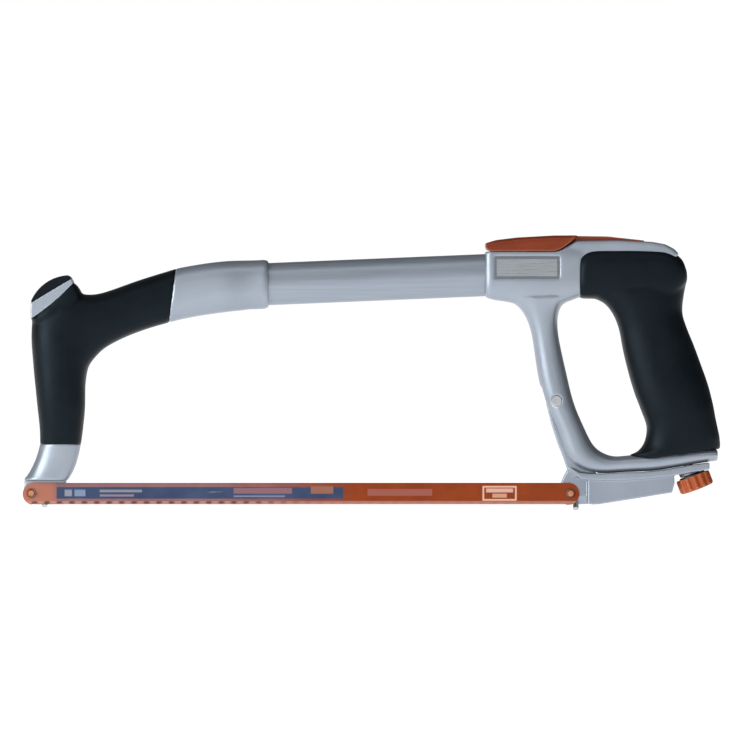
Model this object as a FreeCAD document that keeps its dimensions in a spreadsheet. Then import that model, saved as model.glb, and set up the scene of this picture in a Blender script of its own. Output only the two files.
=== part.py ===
import FreeCAD, Part
import math
import os
import Sketcher

# Hacksaw: a tube joins a cast front bow to a cast D-handle, and a lever under
# the handle, pulled by a thumb screw, tensions a 300 mm blade.
# X runs along the blade towards the handle, Z is up, Y is across the frame and
# the blade lies on the -Y side of its seats.  Every local height is measured
# from the line of the blade pins, and the whole saw is then moved so that the
# centre of the rear grip is the origin.

SIZES = {
    # frame
    "reach": 300.0,            # front blade pin to rear blade pin
    "bow_height": 116.4,       # tube centre line at the front socket
    "tube_rise": 5.0,          # how much higher the tube's rear end sits
    "socket_end": 132.0,       # mouth of the front socket, from the front pin
    "collar_ahead": 47.5,      # mouth of the rear collar, ahead of the rear pin
    "grip_behind": 50.0,       # centre of the rear grip, behind the rear pin
    "grip_drop": 40.4,         # centre of the rear grip, below the tube line
    # tube
    "tube_tall": 23.5,
    "tube_wide": 16.5,
    "tube_wall": 1.5,
    "front_seat": 22.0,        # tube inside the front socket
    "rear_seat": 22.0,         # tube inside the rear collar
    "seat_gap": 0.1,
    "tube_pin_r": 2.0,
    "tube_pin_long": 6.0,
    "tube_pin_out": 1.2,       # how far each pin stands out of the tube
    # front casting and its rubber
    "foot_wide": 18.0,
    "sleeve_wide": 28.0,
    "socket_wide": 21.0,
    "socket_wall": 1.75,       # front socket's wall over the tube
    "collar_wall": 1.85,       # rear collar's wall under the tube
    "mouth_round": 1.4,        # rounding of both mouths
    "sleeve_wall": 3.0,
    "sleeve_bottom": 27.5,
    "horn_wide": 24.0,
    "pad_gap": 0.05,
    # blade and its seats
    "blade_tall": 12.4,
    "blade_drop": 0.35,        # blade's middle line below the pin line
    "blade_thick": 0.65,
    "blade_end": 5.3,          # blade beyond each hole
    "hole_r": 2.1,
    "hole_play": 0.42,         # each pin bears this far off its hole's centre
    "peg_r": 1.6,
    "peg_out": 3.2,            # blade pin beyond the seat face
    "peg_in": 5.0,             # blade pin inside the seat
    "seat_y": 0.42,            # seat face behind the blade's middle plane
    "lug_thick": 8.2,
    "lug_low": 6.3,            # lug below the pin line
    "flush_x_front": 7.2,
    "flush_x_rear": 3.0,
    "flush_y": 5.0,
    "flush_z": 5.2,
    "flush_angle": 55.0,
    "flush_out_front": 2.4,
    "flush_out_rear": 4.2,
    "flush_root_r": 1.4,       # pressed root of a flush pin
    "flush_in": 3.6,
    # handle casting
    "collar_wide": 24.0,
    "leg_wide": 19.0,
    "core_wide": 18.0,
    "rail_top": 24.0,          # top of the side rails above the front tube line
    "rail_inset": 1.0,         # rails set in from each side of the collar
    "rail_round": 1.5,
    "bay_wide": 13.0,
    "bay_floor": 1.5,          # storage floor below the front tube line
    "slot_wide": 15.6,         # slot between the side rails
    "label_ahead": 42.5,       # front edge of the label, ahead of the rear pin
    "label_up": 3.1,           # lower edge of the label, above the front tube line
    "label_play": 0.2,
    "label_long": 36.0,
    "label_tall": 12.0,
    "label_thick": 0.8,
    # rear grip
    "grip_wide": 31.0,
    # lid
    "lid_wide": 25.4,
    "tongue_wide": 15.0,
    "lid_gap": 0.3,
    "lid_over": 1.55,          # lower edge of the lid's hood, above the tube
    "lid_round": 3.0,
    "hinge_behind": 38.5,      # lid hinge behind the rear pin
    "hinge_rise": 20.8,        # lid hinge above the front tube line
    "hinge_pin_r": 1.5,
    "hinge_pin_near": 9.0,     # blind end of the hinge pin, from the middle
    "hinge_pin_far": 10.8,
    "knuckle_gap": 0.8,
    "knuckle_r": 3.4,
    # lever
    "pivot_ahead": 8.0,        # lever pivot ahead of the rear pin
    "pivot_up": 51.5,
    "pivot_r": 2.0,
    "pivot_head_r": 3.0,
    "pivot_head": 1.2,
    "pivot_seat": 1.0,         # depth of the spot face that the head sits in
    "pivot_short": 0.2,        # pin's far end inside the leg's far side
    "pivot_dimple_r": 1.5,
    "pivot_dimple": 0.6,
    "eye_r": 5.2,
    "arm_thick": 8.6,
    "arm_gap": 0.15,
    "lever_wide": 15.0,
    "flange_wide": 18.0,
    "run_gap": 0.05,
    "boss_r": 6.8,             # round boss that the washer bears on
    "boss_tall": 2.4,
    "slot_play": 0.3,          # screw's play across the lever's slot
    "slot_long": 1.1,          # slot's length beyond a round hole
    "knob_play": 1.6,
    # screw and knob
    "screw_r": 2.5,
    "screw_up": 23.0,
    "screw_in": 5.5,
    "screw_tilt": 20.8,
    "screw_play": 0.5,         # screw's play in the handle casting
    "knob_behind": 67.75,      # knob's upper face centre behind the rear pin
    "knob_up": 9.75,
    "knob_r": 9.8,
    "knob_tall": 8.2,
    "knob_dome": 1.2,
    "flute_r": 1.7,
    "flute_out": 0.7,          # centre of each flute outside the knob's rim
    "flute_count": 14,
    "washer_r": 7.4,
    "washer_thick": 1.0,
    "washer_dome": 0.35,
    "nut_r": 3.9,
    "nut_long": 13.0,
    "nut_up": 17.2,            # nut centre above the knob's upper face
}

ACROSS = 60.0   # longer than the saw is wide, for tools that cut right across it
HALF = ACROSS / 2
FEED = 9.0      # how far outside the casting the tube pins' drill starts
DRILL = 20.0    # its whole travel

doc = FreeCAD.newDocument("hacksaw")
sheet = doc.addObject("Spreadsheet::Sheet", "dims")
for row, (alias, value) in enumerate(SIZES.items(), start=1):
    sheet.set("A%d" % row, alias)
    sheet.set("B%d" % row, str(value))
    sheet.setAlias("B%d" % row, alias)
doc.recompute()

NODES = []
V = FreeCAD.Vector
SHIFT_X = " - dims.reach - dims.grip_behind"
SHIFT_Z = " - dims.bow_height + dims.grip_drop"


def size(alias):
    """Value of one cell of the sheet."""
    return float(sheet.get(alias))


# ---------------------------------------------------------------- helpers

def home(item, label, x="0", y="0", z="0"):
    """Name a sub-part and place its local origin at x, y, z of the saw."""
    item.Label = label
    item.setExpression("Placement.Base.x", "(" + x + ")" + SHIFT_X)
    item.setExpression("Placement.Base.y", y)
    item.setExpression("Placement.Base.z", "(" + z + ")" + SHIFT_Z)
    NODES.append(item)


def turn(item, axis, expression):
    """Turn a sub-part about an axis by an angle given as an expression."""
    item.Placement = FreeCAD.Placement(item.Placement.Base, FreeCAD.Rotation(axis, 1))
    item.setExpression("Placement.Rotation.Angle", expression)


def new_body(name):
    return doc.addObject("PartDesign::Body", name)


def new_sketch(body, name, role="XZ_Plane", offset=None):
    """Sketch on one of the body's origin planes, raised by an offset."""
    sketch = body.newObject("Sketcher::SketchObject", name)
    plane = [f for f in body.Origin.OriginFeatures if f.Role == role][0]
    sketch.AttachmentSupport = [(plane, "")]
    sketch.MapMode = "FlatFace"
    if offset is not None:
        sketch.setExpression("AttachmentOffset.Base.z", offset)
    return sketch


def pin_point(sketch, geo, end, point):
    """Bind one end of an edge to two expressions from the sketch's origin."""
    for kind, text in zip(("DistanceX", "DistanceY"), point):
        index = sketch.addConstraint(Sketcher.Constraint(kind, -1, 1, geo, end, 1.0))
        sketch.setExpression("Constraints[%d]" % index, str(text))


def value_of(text):
    """Number that an expression in cell names stands for."""
    probe = doc.getObject("probe")
    if probe is None:
        probe = doc.addObject("App::FeaturePython", "probe")
        probe.addProperty("App::PropertyFloat", "Value")
    return float(probe.evalExpression(str(text)))


def add_circle(sketch, x, z, radius):
    """Circle whose centre and radius are expressions."""
    centre = V(value_of(x), value_of(z), 0)
    geo = sketch.addGeometry(Part.Circle(centre, V(0, 0, 1), value_of(radius)))
    pin_point(sketch, geo, 3, (x, z))
    index = sketch.addConstraint(Sketcher.Constraint("Radius", geo, value_of(radius)))
    sketch.setExpression("Constraints[%d]" % index, str(radius))


def add_polygon(sketch, points):
    """Closed polygon with every corner bound to two expressions."""
    corners = [V(value_of(x), value_of(z), 0) for x, z in points]
    count = len(corners)
    first = sketch.GeometryCount
    for i in range(count):
        sketch.addGeometry(Part.LineSegment(corners[i], corners[(i + 1) % count]))
    for i in range(count):
        after = first + (i + 1) % count
        sketch.addConstraint(Sketcher.Constraint("Coincident", first + i, 2, after, 1))
    for i in range(count):
        for kind, text in zip(("DistanceX", "DistanceY"), points[i]):
            held = Sketcher.Constraint(kind, -1, 1, first + i, 1, value_of(text))
            index = sketch.addConstraint(held)
            sketch.setExpression("Constraints[%d]" % index, str(text))


def pad(body, sketch, length, both=True, away=False):
    """Pad a sketch by an expression, about its plane or to one side."""
    feature = body.newObject("PartDesign::Pad", sketch.Name + "_pad")
    feature.Profile = sketch
    feature.setExpression("Length", length)
    if both:
        feature.SideType = "Symmetric"
    feature.Reversed = away
    body.Tip = feature
    doc.recompute()
    return feature


def pocket(body, sketch, length, both=True, away=False):
    """Pocket a sketch, and make sure that it takes material away."""
    before = body.Shape.Volume
    feature = body.newObject("PartDesign::Pocket", sketch.Name + "_pocket")
    feature.Profile = sketch
    feature.setExpression("Length", length)
    if both:
        feature.SideType = "Symmetric"
    feature.Reversed = away
    body.Tip = feature
    doc.recompute()
    if body.Shape.Volume > before - 1e-6:
        raise RuntimeError(sketch.Name + " cuts nothing")
    return feature


def edges_where(shape, test):
    """Names of the edges whose every sampled point passes a test."""
    names = []
    for order, edge in enumerate(shape.Edges, start=1):
        ends = edge.ParameterRange
        points = [edge.valueAt(ends[0] + (ends[1] - ends[0]) * f) for f in (0, 0.5, 1)]
        if all(test(p) for p in points):
            names.append("Edge%d" % order)
    return names


def round_edges(body, test, radius):
    """Fillet the edges of the body's tip that pass a test."""
    tip = body.Tip
    names = edges_where(tip.Shape, test)
    feature = body.newObject("PartDesign::Fillet", tip.Name + "_round")
    feature.Base = (tip, names)
    feature.setExpression("Radius", radius)
    body.Tip = feature
    doc.recompute()
    return feature


def solid_feature(name, shape):
    """Sub-part whose cast or moulded shape is built from sections."""
    item = doc.addObject("Part::Feature", name)
    item.Shape = shape
    item.Placement = FreeCAD.Placement(V(*to_origin()), FreeCAD.Rotation())
    item.Label = name
    NODES.append(item)
    return item


def to_origin():
    """Move from the front blade pin to the centre of the rear grip."""
    return (
        -size("reach") - size("grip_behind"),
        0.0,
        size("grip_drop") - size("bow_height"),
    )


def ring(outer, inner, width, power):
    """Points of a closed rounded section across two edge points and Y."""
    a = V(outer[0], 0, outer[1])
    b = V(inner[0], 0, inner[1])
    middle = (a + b) * 0.5
    along = (b - a) * 0.5
    points = []
    count = 24
    for i in range(count + 1):
        angle = 2 * math.pi * (i % count) / count
        c = math.cos(angle)
        s = math.sin(angle)
        reach_along = math.copysign(abs(c) ** (2.0 / power), c)
        reach_out = math.copysign(abs(s) ** (2.0 / power), s) * width / 2
        points.append(middle + along * reach_along + V(0, reach_out, 0))
    return points


def even_stations(stations, spacing):
    """Stations at an even spacing on smooth curves through the given ones."""
    middles = [V((a + c) / 2, 0, (b + d) / 2) for (a, b), (c, d), w in stations]
    steps = [0.0]
    for i in range(1, len(middles)):
        steps.append(steps[-1] + (middles[i] - middles[i - 1]).Length)
    outer = Part.BSplineCurve()
    outer.interpolate(Points=[V(a[0], w, a[1]) for a, b, w in stations], Parameters=steps)
    inner = Part.BSplineCurve()
    inner.interpolate(Points=[V(b[0], w, b[1]) for a, b, w in stations], Parameters=steps)
    count = max(3, math.ceil(steps[-1] / spacing))
    result = []
    for i in range(count + 1):
        a = outer.value(steps[-1] * i / count)
        b = inner.value(steps[-1] * i / count)
        result.append(((a.x, a.z), (b.x, b.z), a.y))
    return result


def flat_cap(edge):
    """Flat face inside a closed edge."""
    first, last = edge.ParameterRange
    thirds = [edge.valueAt(first + (last - first) * part / 3) for part in range(3)]
    return Part.Face(Part.Plane(*thirds), Part.Wire([edge]))


def loft(stations, power, spacing=7.0):
    """Smooth closed solid through stations of outer point, inner point and width."""
    surface = Part.BSplineSurface()
    even = even_stations(stations, spacing)
    surface.interpolate([ring(*station, power) for station in even])
    side = surface.toShape()
    caps = [flat_cap(edge) for edge in side.Edges if edge.isClosed()]
    shell = Part.makeShell([side] + caps)
    shell.sewShape()
    return Part.makeSolid(shell)


def inset(stations, wall):
    """The same stations, thinner by a wall all round."""
    result = []
    for outer, inner, width in stations:
        long = math.dist(outer, inner)
        ux = (inner[0] - outer[0]) / long
        uz = (inner[1] - outer[1]) / long
        new_outer = (outer[0] + ux * wall, outer[1] + uz * wall)
        new_inner = (inner[0] - ux * wall, inner[1] - uz * wall)
        result.append((new_outer, new_inner, width - 2 * wall))
    return result


def prism(points, y0, y1):
    """Straight-sided block across Y from a side-view polygon."""
    corners = [V(x, y0, z) for x, z in points]
    face = Part.Face(Part.makePolygon(corners + corners[:1]))
    return face.extrude(V(0, y1 - y0, 0))


def curved_prism(runs, y0, y1):
    """Block across Y from runs of two points (a line) or three (an arc)."""
    edges = []
    for run in runs:
        points = [V(x, y0, z) for x, z in run]
        if len(points) == 2:
            edges.append(Part.LineSegment(*points).toShape())
        else:
            edges.append(Part.Arc(*points).toShape())
    return Part.Face(Part.Wire(edges)).extrude(V(0, y1 - y0, 0))


def rod(radius, start, direction, long):
    return Part.makeCylinder(radius, long, V(*start), V(*direction))


# ---------------------------------------------------------------- frame lines

def tube_line():
    """Start, direction and length of the tube's centre line."""
    front = V(size("socket_end"), 0, size("bow_height"))
    collar_x = size("reach") - size("collar_ahead")
    rear = V(collar_x, 0, size("bow_height") + size("tube_rise"))
    along = (rear - front).normalize()
    start = front - along * size("front_seat")
    long = (rear - front).Length + size("front_seat") + size("rear_seat")
    return start, along, long


def tube_block(tall, wide, extra=0.0):
    """Oval block on the tube's centre line, longer by extra at each end."""
    start, along, long = tube_line()
    ellipse = Part.Ellipse(V(0, 0, 0), tall / 2, wide / 2)
    face = Part.Face(Part.Wire([ellipse.toShape()]))
    block = face.extrude(V(0, 0, long + 2 * extra))
    turned = FreeCAD.Rotation(V(0, 0, 1), V(0, 1, 0), along, "ZXY")
    block.Placement = FreeCAD.Placement(start - along * extra, turned)
    return block


TILT = (
    "atan(dims.tube_rise / (dims.reach - dims.collar_ahead - dims.socket_end))"
)


def make_tube():
    """Hollow oval tube between the two castings."""
    halves = []
    for name, trim in (("tube_outer", "0"), ("tube_inner", "dims.tube_wall")):
        oval = doc.addObject("Part::Ellipse", name + "_oval")
        oval.setExpression("MajorRadius", "dims.tube_tall / 2 - " + trim)
        oval.setExpression("MinorRadius", "dims.tube_wide / 2 - " + trim)
        block = doc.addObject("Part::Extrusion", name)
        block.Base = oval
        block.DirMode = "Custom"
        block.Dir = V(0, 0, 1)
        block.setExpression(
            "LengthFwd",
            "(dims.reach - dims.collar_ahead - dims.socket_end) / cos(" + TILT + ")"
            " + dims.front_seat + dims.rear_seat",
        )
        block.Solid = True
        halves.append(block)
    hollow = doc.addObject("Part::Cut", "tube_hollow")
    hollow.Base = halves[0]
    hollow.Tool = halves[1]
    whole = "(dims.reach - dims.collar_ahead - dims.socket_end) / cos(" + TILT + ")"
    for end, along in (
        ("front", "dims.front_seat / 2"),
        ("rear", "dims.front_seat + dims.rear_seat / 2 + " + whole),
    ):
        hole = doc.addObject("Part::Cylinder", end + "_pin_hole")
        hole.setExpression("Radius", "dims.tube_pin_r")
        hole.setExpression("Height", "dims.tube_tall")
        place(hole, "0", "0", along, V(0, 1, 0), "90")
        drilled = doc.addObject("Part::Cut", "tube_drilled_" + end)
        drilled.Base = hollow
        drilled.Tool = hole
        hollow = drilled
    hollow.Placement = FreeCAD.Placement(V(0, 0, 0), FreeCAD.Rotation(V(0, 1, 0), 90))
    hollow.setExpression("Placement.Rotation.Angle", "90 deg - " + TILT)
    home(
        hollow,
        "frame_tube",
        x="dims.socket_end - dims.front_seat * cos(" + TILT + ")",
        z="dims.bow_height - dims.front_seat * sin(" + TILT + ")",
    )


def tube_pin_place(end):
    """Outer end of a tube pin, and the way into the tube from below."""
    start, along, long = tube_line()
    across = V(along.z, 0, -along.x)
    if end == "front":
        centre = start + along * (size("front_seat") / 2)
    else:
        centre = start + along * (long - size("rear_seat") / 2)
    foot = centre + across * (size("tube_tall") / 2 + size("tube_pin_out"))
    return foot, across * -1.0


def make_tube_pins():
    """Short pins that lock the tube in each casting from below."""
    for end, where in (
        ("front", "-dims.front_seat / 2"),
        ("rear", "(dims.reach - dims.collar_ahead - dims.socket_end) / cos("
                 + TILT + ") + dims.rear_seat / 2"),
    ):
        item = doc.addObject("Part::Cylinder", end + "_tube_pin")
        item.setExpression("Radius", "dims.tube_pin_r")
        item.setExpression("Height", "dims.tube_pin_long")
        below = "(dims.tube_tall / 2 + dims.tube_pin_out)"
        turn(item, V(0, -1, 0), TILT)
        home(
            item,
            end + "_tube_pin",
            x="dims.socket_end + (" + where + ") * cos(" + TILT + ") + "
              + below + " * sin(" + TILT + ")",
            z="dims.bow_height + (" + where + ") * sin(" + TILT + ") - "
              + below + " * cos(" + TILT + ")",
        )


# ---------------------------------------------------------------- front bow

def foot_stations():
    """Sections of the bare foot, from the seat's shoulder to the sleeve."""
    wide = size("foot_wide")
    bottom = size("sleeve_bottom")
    return [
        ((-4.1, 7.5), (20.4, 7.5), wide),
        ((0.6, 15.0), (24.6, 15.5), wide),
        ((3.4, bottom - 5.5), (26.6, bottom - 5.0), wide + 1.0),
        ((4.8, bottom), (27.6, bottom), wide + 2.0),
    ]


def sleeve_stations():
    """Sections of the rubber sleeve, from its bottom edge to its rear edge."""
    up = size("bow_height")
    bottom = size("sleeve_bottom")
    full = size("sleeve_wide")
    return [
        ((4.8, bottom), (27.6, bottom), size("foot_wide") + 2.0),
        ((4.6, 0.31 * up), (28.8, 0.31 * up), full - 4.5),
        ((3.2, 0.42 * up), (29.9, 0.412 * up), full - 1.5),
        ((2.0, up - 55.4), (30.1, up - 56.4), full),
        ((0.9, up - 43.4), (31.3, up - 47.9), full),
        ((0.0, up - 28.4), (33.2, up - 43.7), full),
        ((1.8, up - 16.2), (36.2, up - 40.0), full - 1.0),
        ((10.5, up - 5.6), (40.4, up - 36.0), full - 2.0),
        ((26.5, up - 5.3), (46.4, up - 32.4), full - 3.0),
        ((38.5, up - 4.8), (55.0, up - 28.4), full - 4.0),
        ((60.5, up + 2.4), (65.5, up - 24.6), full - 5.5),
        ((80.5, up + 8.6), (76.5, up - 21.4), size("socket_wide") + 0.5),
    ]


def socket_stations():
    """Sections of the bare casting, from the sleeve to the tube's socket."""
    up = size("bow_height")
    wide = size("socket_wide")
    end = size("socket_end")
    top = up + size("tube_tall") / 2 + size("socket_wall")
    low = up - size("tube_tall") / 2 - size("socket_wall")
    turned = size("mouth_round")
    return [
        ((80.5, up + 8.6), (76.5, up - 21.4), wide + 0.5),
        ((95.5, up + 11.3), (93.0, up - 17.8), wide),
        ((end - 20.0, top - 0.5), (end - 20.0, low - 1.7), wide),
        ((end - 3 * turned, top - 0.05), (end - 3 * turned, low - 0.4), wide),
        ((end - turned, top - 0.2), (end - turned, low), wide - 0.5),
        ((end, top - 0.9), (end, low + 0.7), wide - 2.2),
    ]


def bow_core_stations():
    """Sections of the cast core, which runs on past both ends of the sleeve."""
    stations = inset(sleeve_stations(), size("sleeve_wall"))
    (ax, az), (bx, bz), width = stations[0]
    stations[0] = ((ax - 1.0, az - 4.0), (bx - 1.0, bz - 4.0), width)
    (ax, az), (bx, bz), width = stations[-1]
    stations[-1] = ((ax + 4.0, az + 1.0), (bx + 4.0, bz + 1.0), width)
    return stations


def horn_runs(up):
    """Lens-shaped horn between the sleeve and the thumb pad."""
    return [
        ((-0.1, up - 19.6), (10.8, up - 11.8), (23.6, up + 0.4)),
        ((23.6, up + 0.4), (22.8, up + 3.1)),
        ((22.8, up + 3.1), (12.2, up - 3.1), (0.1, up - 10.4)),
        ((0.1, up - 10.4), (-0.1, up - 19.6)),
    ]


def horn_neck(up):
    """Part of the horn that runs down into the casting's core."""
    return [
        (3.5, up - 17.0),
        (10.8, up - 11.0),
        (20.0, up - 3.0),
        (26.0, up - 9.0),
        (18.0, up - 22.0),
        (8.0, up - 26.0),
    ]


def round_all(shape, radius, test):
    """Fillet the edges of a block that pass a test."""
    edges = [e for e in shape.Edges if test(e)]
    return shape.makeFillet(radius, edges)


def runs_in_side_view(edge):
    """True for an edge that lies in a plane of constant Y."""
    box = edge.BoundBox
    return box.YLength < 1e-4


def front_lug():
    """Plate behind the blade's front end, with its slanted lower face."""
    low = size("lug_low")
    y0 = size("seat_y")
    runs = [
        ((-3.6, 9.0), (-4.6, 0.5)),
        ((-4.6, 0.5), (-2.9, -4.3), (1.4, -low)),
        ((1.4, -low), (13.5, -low)),
        ((13.5, -low), (20.4, 9.0)),
        ((20.4, 9.0), (-3.6, 9.0)),
    ]
    lug = curved_prism(runs, y0, y0 + size("lug_thick"))
    return lug.cut(flush_wedge(-20.0, 40.0))


def flush_wedge(x0, long):
    """Everything below the slanted face that a flush pin stands on."""
    angle = math.radians(size("flush_angle"))
    slope = math.tan(math.pi / 2 - angle)
    y = size("flush_y")
    z = -size("flush_z")
    near = V(x0, -20.0, z + (y + 20.0) * slope)
    far = V(x0, 30.0, z + (y - 30.0) * slope)
    under = V(x0, 30.0, z - 60.0)
    under_near = V(x0, -20.0, z - 60.0)
    face = Part.Face(Part.makePolygon([near, far, under, under_near, near]))
    return face.extrude(V(long, 0, 0))


def pin_hole(x, z, radius):
    """Blind hole for a blade pin, from the seat face."""
    y0 = size("seat_y")
    return rod(radius, (x, y0 - 1.0, z), (0, 1, 0), size("peg_in") + 1.0)


def flush_direction():
    angle = math.radians(size("flush_angle"))
    return (0.0, -math.cos(angle), -math.sin(angle))


def flush_hole(x):
    """Blind hole for a flush pin, square to the slanted face."""
    d = flush_direction()
    deep = size("flush_in")
    start = (x, size("flush_y") - d[1] * deep, -size("flush_z") - d[2] * deep)
    return rod(size("flush_root_r"), start, d, deep + 1.0)


def make_front_casting():
    """Front leg, horn, bow and tube socket, cast in one, and its rubber sleeve."""
    up = size("bow_height")
    gap = 2 * size("seat_gap")
    core = loft(bow_core_stations(), 2.6)
    foot = loft(foot_stations(), 2.6)
    socket = loft(socket_stations(), 2.6, size("mouth_round"))
    horn_y = size("horn_wide") / 2
    horn = curved_prism(horn_runs(up), -horn_y, horn_y)
    neck = prism(horn_neck(up), -horn_y + 4.0, horn_y - 4.0)
    body = core.fuse([foot, socket, front_lug(), neck, horn])
    body = body.cut(tube_block(size("tube_tall") + gap, size("tube_wide") + gap))
    entry, inward = tube_pin_place("front")
    body = body.cut(rod(size("tube_pin_r"), entry - inward * FEED, inward, DRILL))
    body = body.cut(pin_hole(0.0, 0.0, size("peg_r")))
    body = body.cut(flush_hole(size("flush_x_front")))
    solid_feature("front_casting", body)
    make_front_grip(core, neck)


def make_front_grip(core, neck):
    """Rubber sleeve, trimmed where the horn comes through it."""
    up = size("bow_height")
    above = curved_prism(
        [
            horn_runs(up)[0],
            ((23.6, up + 0.4), (24.5, up + 10.0)),
            ((24.5, up + 10.0), (-20.0, up + 10.0)),
            ((-20.0, up + 10.0), (-20.0, up - 19.6)),
            ((-20.0, up - 19.6), (-0.1, up - 19.6)),
        ],
        -30.0,
        30.0,
    )
    sleeve = loft(sleeve_stations(), 2.6)
    sleeve = sleeve.cut(core).cut(above).cut(neck)
    solid_feature("front_grip", sleeve)


def make_thumb_pad():
    """Rubber pad on top of the horn."""
    up = size("bow_height")
    gap = size("pad_gap")
    y = size("horn_wide") / 2
    runs = [
        ((0.1, up - 10.4 + gap), (12.2, up - 3.1 + gap), (22.8, up + 3.1 + gap)),
        ((22.8, up + 3.1 + gap), (20.8, up + 4.9)),
        ((20.8, up + 4.9), (8.3, up + 0.6), (0.1, up - 9.6)),
        ((0.1, up - 9.6), (0.1, up - 10.4 + gap)),
    ]
    block = curved_prism(runs, -y, y)
    solid_feature("thumb_pad", block)


# ---------------------------------------------------------------- handle

def handle_frame():
    """Rear pin's X and the tube line's Z, from which the handle is set out."""
    return size("reach"), size("bow_height")


def collar_stations():
    """Sections of the collar and the housing behind it."""
    x, up = handle_frame()
    wide = size("collar_wide")
    mouth = x - size("collar_ahead")
    top = up + size("rail_top")
    low = up + size("tube_rise") - size("tube_tall") / 2 - size("collar_wall")
    turned = size("mouth_round")
    return [
        ((mouth, top - 1.0), (mouth, low + 1.3), wide - 2.6),
        ((mouth + turned, top + 0.6), (mouth + turned, low + 0.6), wide - 0.6),
        ((mouth + 3 * turned, top + 1.4), (mouth + 3 * turned, low - 0.2), wide),
        ((mouth + 10.0, top + 2.0), (mouth + 10.0, low - 1.2), wide),
        ((x - 24.0, top + 2.4), (x - 24.0, low - 3.4), wide),
        ((x - 9.0, top + 2.0), (x - 9.0, low - 2.4), wide),
        ((x + 1.0, top + 0.2), (x + 1.0, low - 0.2), wide - 0.5),
        ((x + 6.0, top - 0.4), (x + 6.0, low + 1.6), wide - 1.0),
    ]


def leg_stations():
    """Sections of the D-loop's front leg and bottom bar."""
    x, up = handle_frame()
    wide = size("leg_wide")
    upper = [
        ((x - 39.0, up - 8.4), (x + 4.0, up - 6.4), wide + 4.6),
        ((x - 32.5, up - 10.4), (x - 1.0, up - 9.0), wide + 4.0),
        ((x - 28.1, up - 13.7), (x - 5.0, up - 12.4), wide + 3.2),
        ((x - 24.7, up - 18.9), (x - 7.1, up - 18.0), wide + 2.0),
        ((x - 20.6, 0.705 * up), (x - 5.8, 0.705 * up), wide),
        ((x - 18.0, 0.558 * up), (x - 2.0, 0.558 * up), wide),
    ]
    lower = [
        ((x - 13.4, 48.0), (x + 2.2, 49.0), wide),
        ((x - 6.8, 32.0), (x + 8.4, 34.5), wide),
        ((x + 0.4, 16.6), (x + 15.0, 24.4), wide),
        ((x + 10.0, 11.8), (x + 22.0, 21.0), wide),
        ((x + 27.0, 11.6), (x + 31.0, 21.0), wide),
        ((x + 45.0, 12.5), (x + 45.0, 22.0), wide),
        ((x + 64.0, 15.4), (x + 64.0, 24.0), wide + 1.0),
        ((x + 81.6, 18.2), (x + 81.6, 24.4), wide - 1.0),
    ]
    return upper + lower


def core_stations():
    """Sections of the cast core inside the rear grip."""
    x, up = handle_frame()
    wide = size("core_wide")
    return [
        ((x + 38.0, 18.5), (x + 80.0, 22.0), wide),
        ((x + 46.5, 0.258 * up), (x + 78.5, 0.284 * up), wide),
        ((x + 44.5, 0.387 * up), (x + 75.0, 0.412 * up), wide),
        ((x + 37.5, 0.558 * up), (x + 70.0, 0.579 * up), wide),
        ((x + 32.5, 0.734 * up), (x + 62.0, 0.742 * up), wide),
        ((x + 30.5, up - 18.0), (x + 58.0, up - 16.0), wide),
        ((x + 22.0, up - 3.0), (x + 60.0, up - 2.0), wide),
        ((x + 14.0, up + 6.0), (x + 60.5, up + 8.0), wide),
    ]


def grip_stations():
    """Sections of the rear rubber grip, from the bottom to the top."""
    x, up = handle_frame()
    wide = size("grip_wide")
    return [
        ((x + 34.0, 18.6), (x + 83.2, 24.8), wide - 6.0),
        ((x + 41.4, 0.241 * up), (x + 82.8, 0.271 * up), wide - 3.5),
        ((x + 42.2, 0.318 * up), (x + 80.9, 0.352 * up), wide - 1.5),
        ((x + 39.0, 0.400 * up), (x + 79.2, 0.430 * up), wide),
        ((x + 35.2, 0.485 * up), (x + 76.4, 0.522 * up), wide),
        ((x + 31.6, 0.593 * up), (x + 72.8, 0.610 * up), wide - 1.0),
        ((x + 29.0, 0.687 * up), (x + 68.6, 0.708 * up), wide - 2.0),
        ((x + 26.8, 0.785 * up), (x + 64.4, 0.797 * up), wide - 3.0),
        ((x + 23.4, up - 16.6), (x + 62.2, up - 15.6), wide - 3.0),
        ((x + 18.4, up - 10.6), (x + 63.0, up - 6.4), wide - 3.0),
        ((x + 10.5, up - 7.0), (x + 64.6, up + 1.6), wide - 3.5),
    ]


def crown_stations():
    """Sections of the grip's top part, along the handle."""
    x, up = handle_frame()
    wide = size("grip_wide") - 3.0
    return [
        ((x + 4.7, up + 18.4), (x + 4.7, up - 7.6), wide - 2.0),
        ((x + 12.0, up + 20.6), (x + 12.0, up - 8.2), wide),
        ((x + 24.0, up + 21.0), (x + 26.0, up - 8.2), wide),
        ((x + 42.0, up + 21.0), (x + 42.0, up - 10.0), wide),
        ((x + 54.0, up + 19.4), (x + 55.0, up - 8.0), wide),
        ((x + 61.6, up + 14.0), (x + 62.4, up - 2.0), wide - 3.0),
        ((x + 64.4, up + 7.6), (x + 64.7, up + 1.4), wide - 9.0),
    ]


def rail_profile():
    """Side view of the housing and rails that run back under the lid."""
    x, up = handle_frame()
    top = up + size("rail_top")
    return [
        (x - 5.0, up + 14.0),
        (x - 3.4, up + 20.6),
        (x + 3.0, top),
        (x + 27.0, top + 0.3),
        (x + 45.0, top - 0.6),
        (x + 52.5, top - 2.0),
        (x + 57.4, top - 4.6),
        (x + 60.0, up + 16.6),
        (x + 58.0, up + 14.0),
    ]


LID_LOW = "(dims.tube_rise + dims.tube_tall / 2 + dims.lid_over)"


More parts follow.
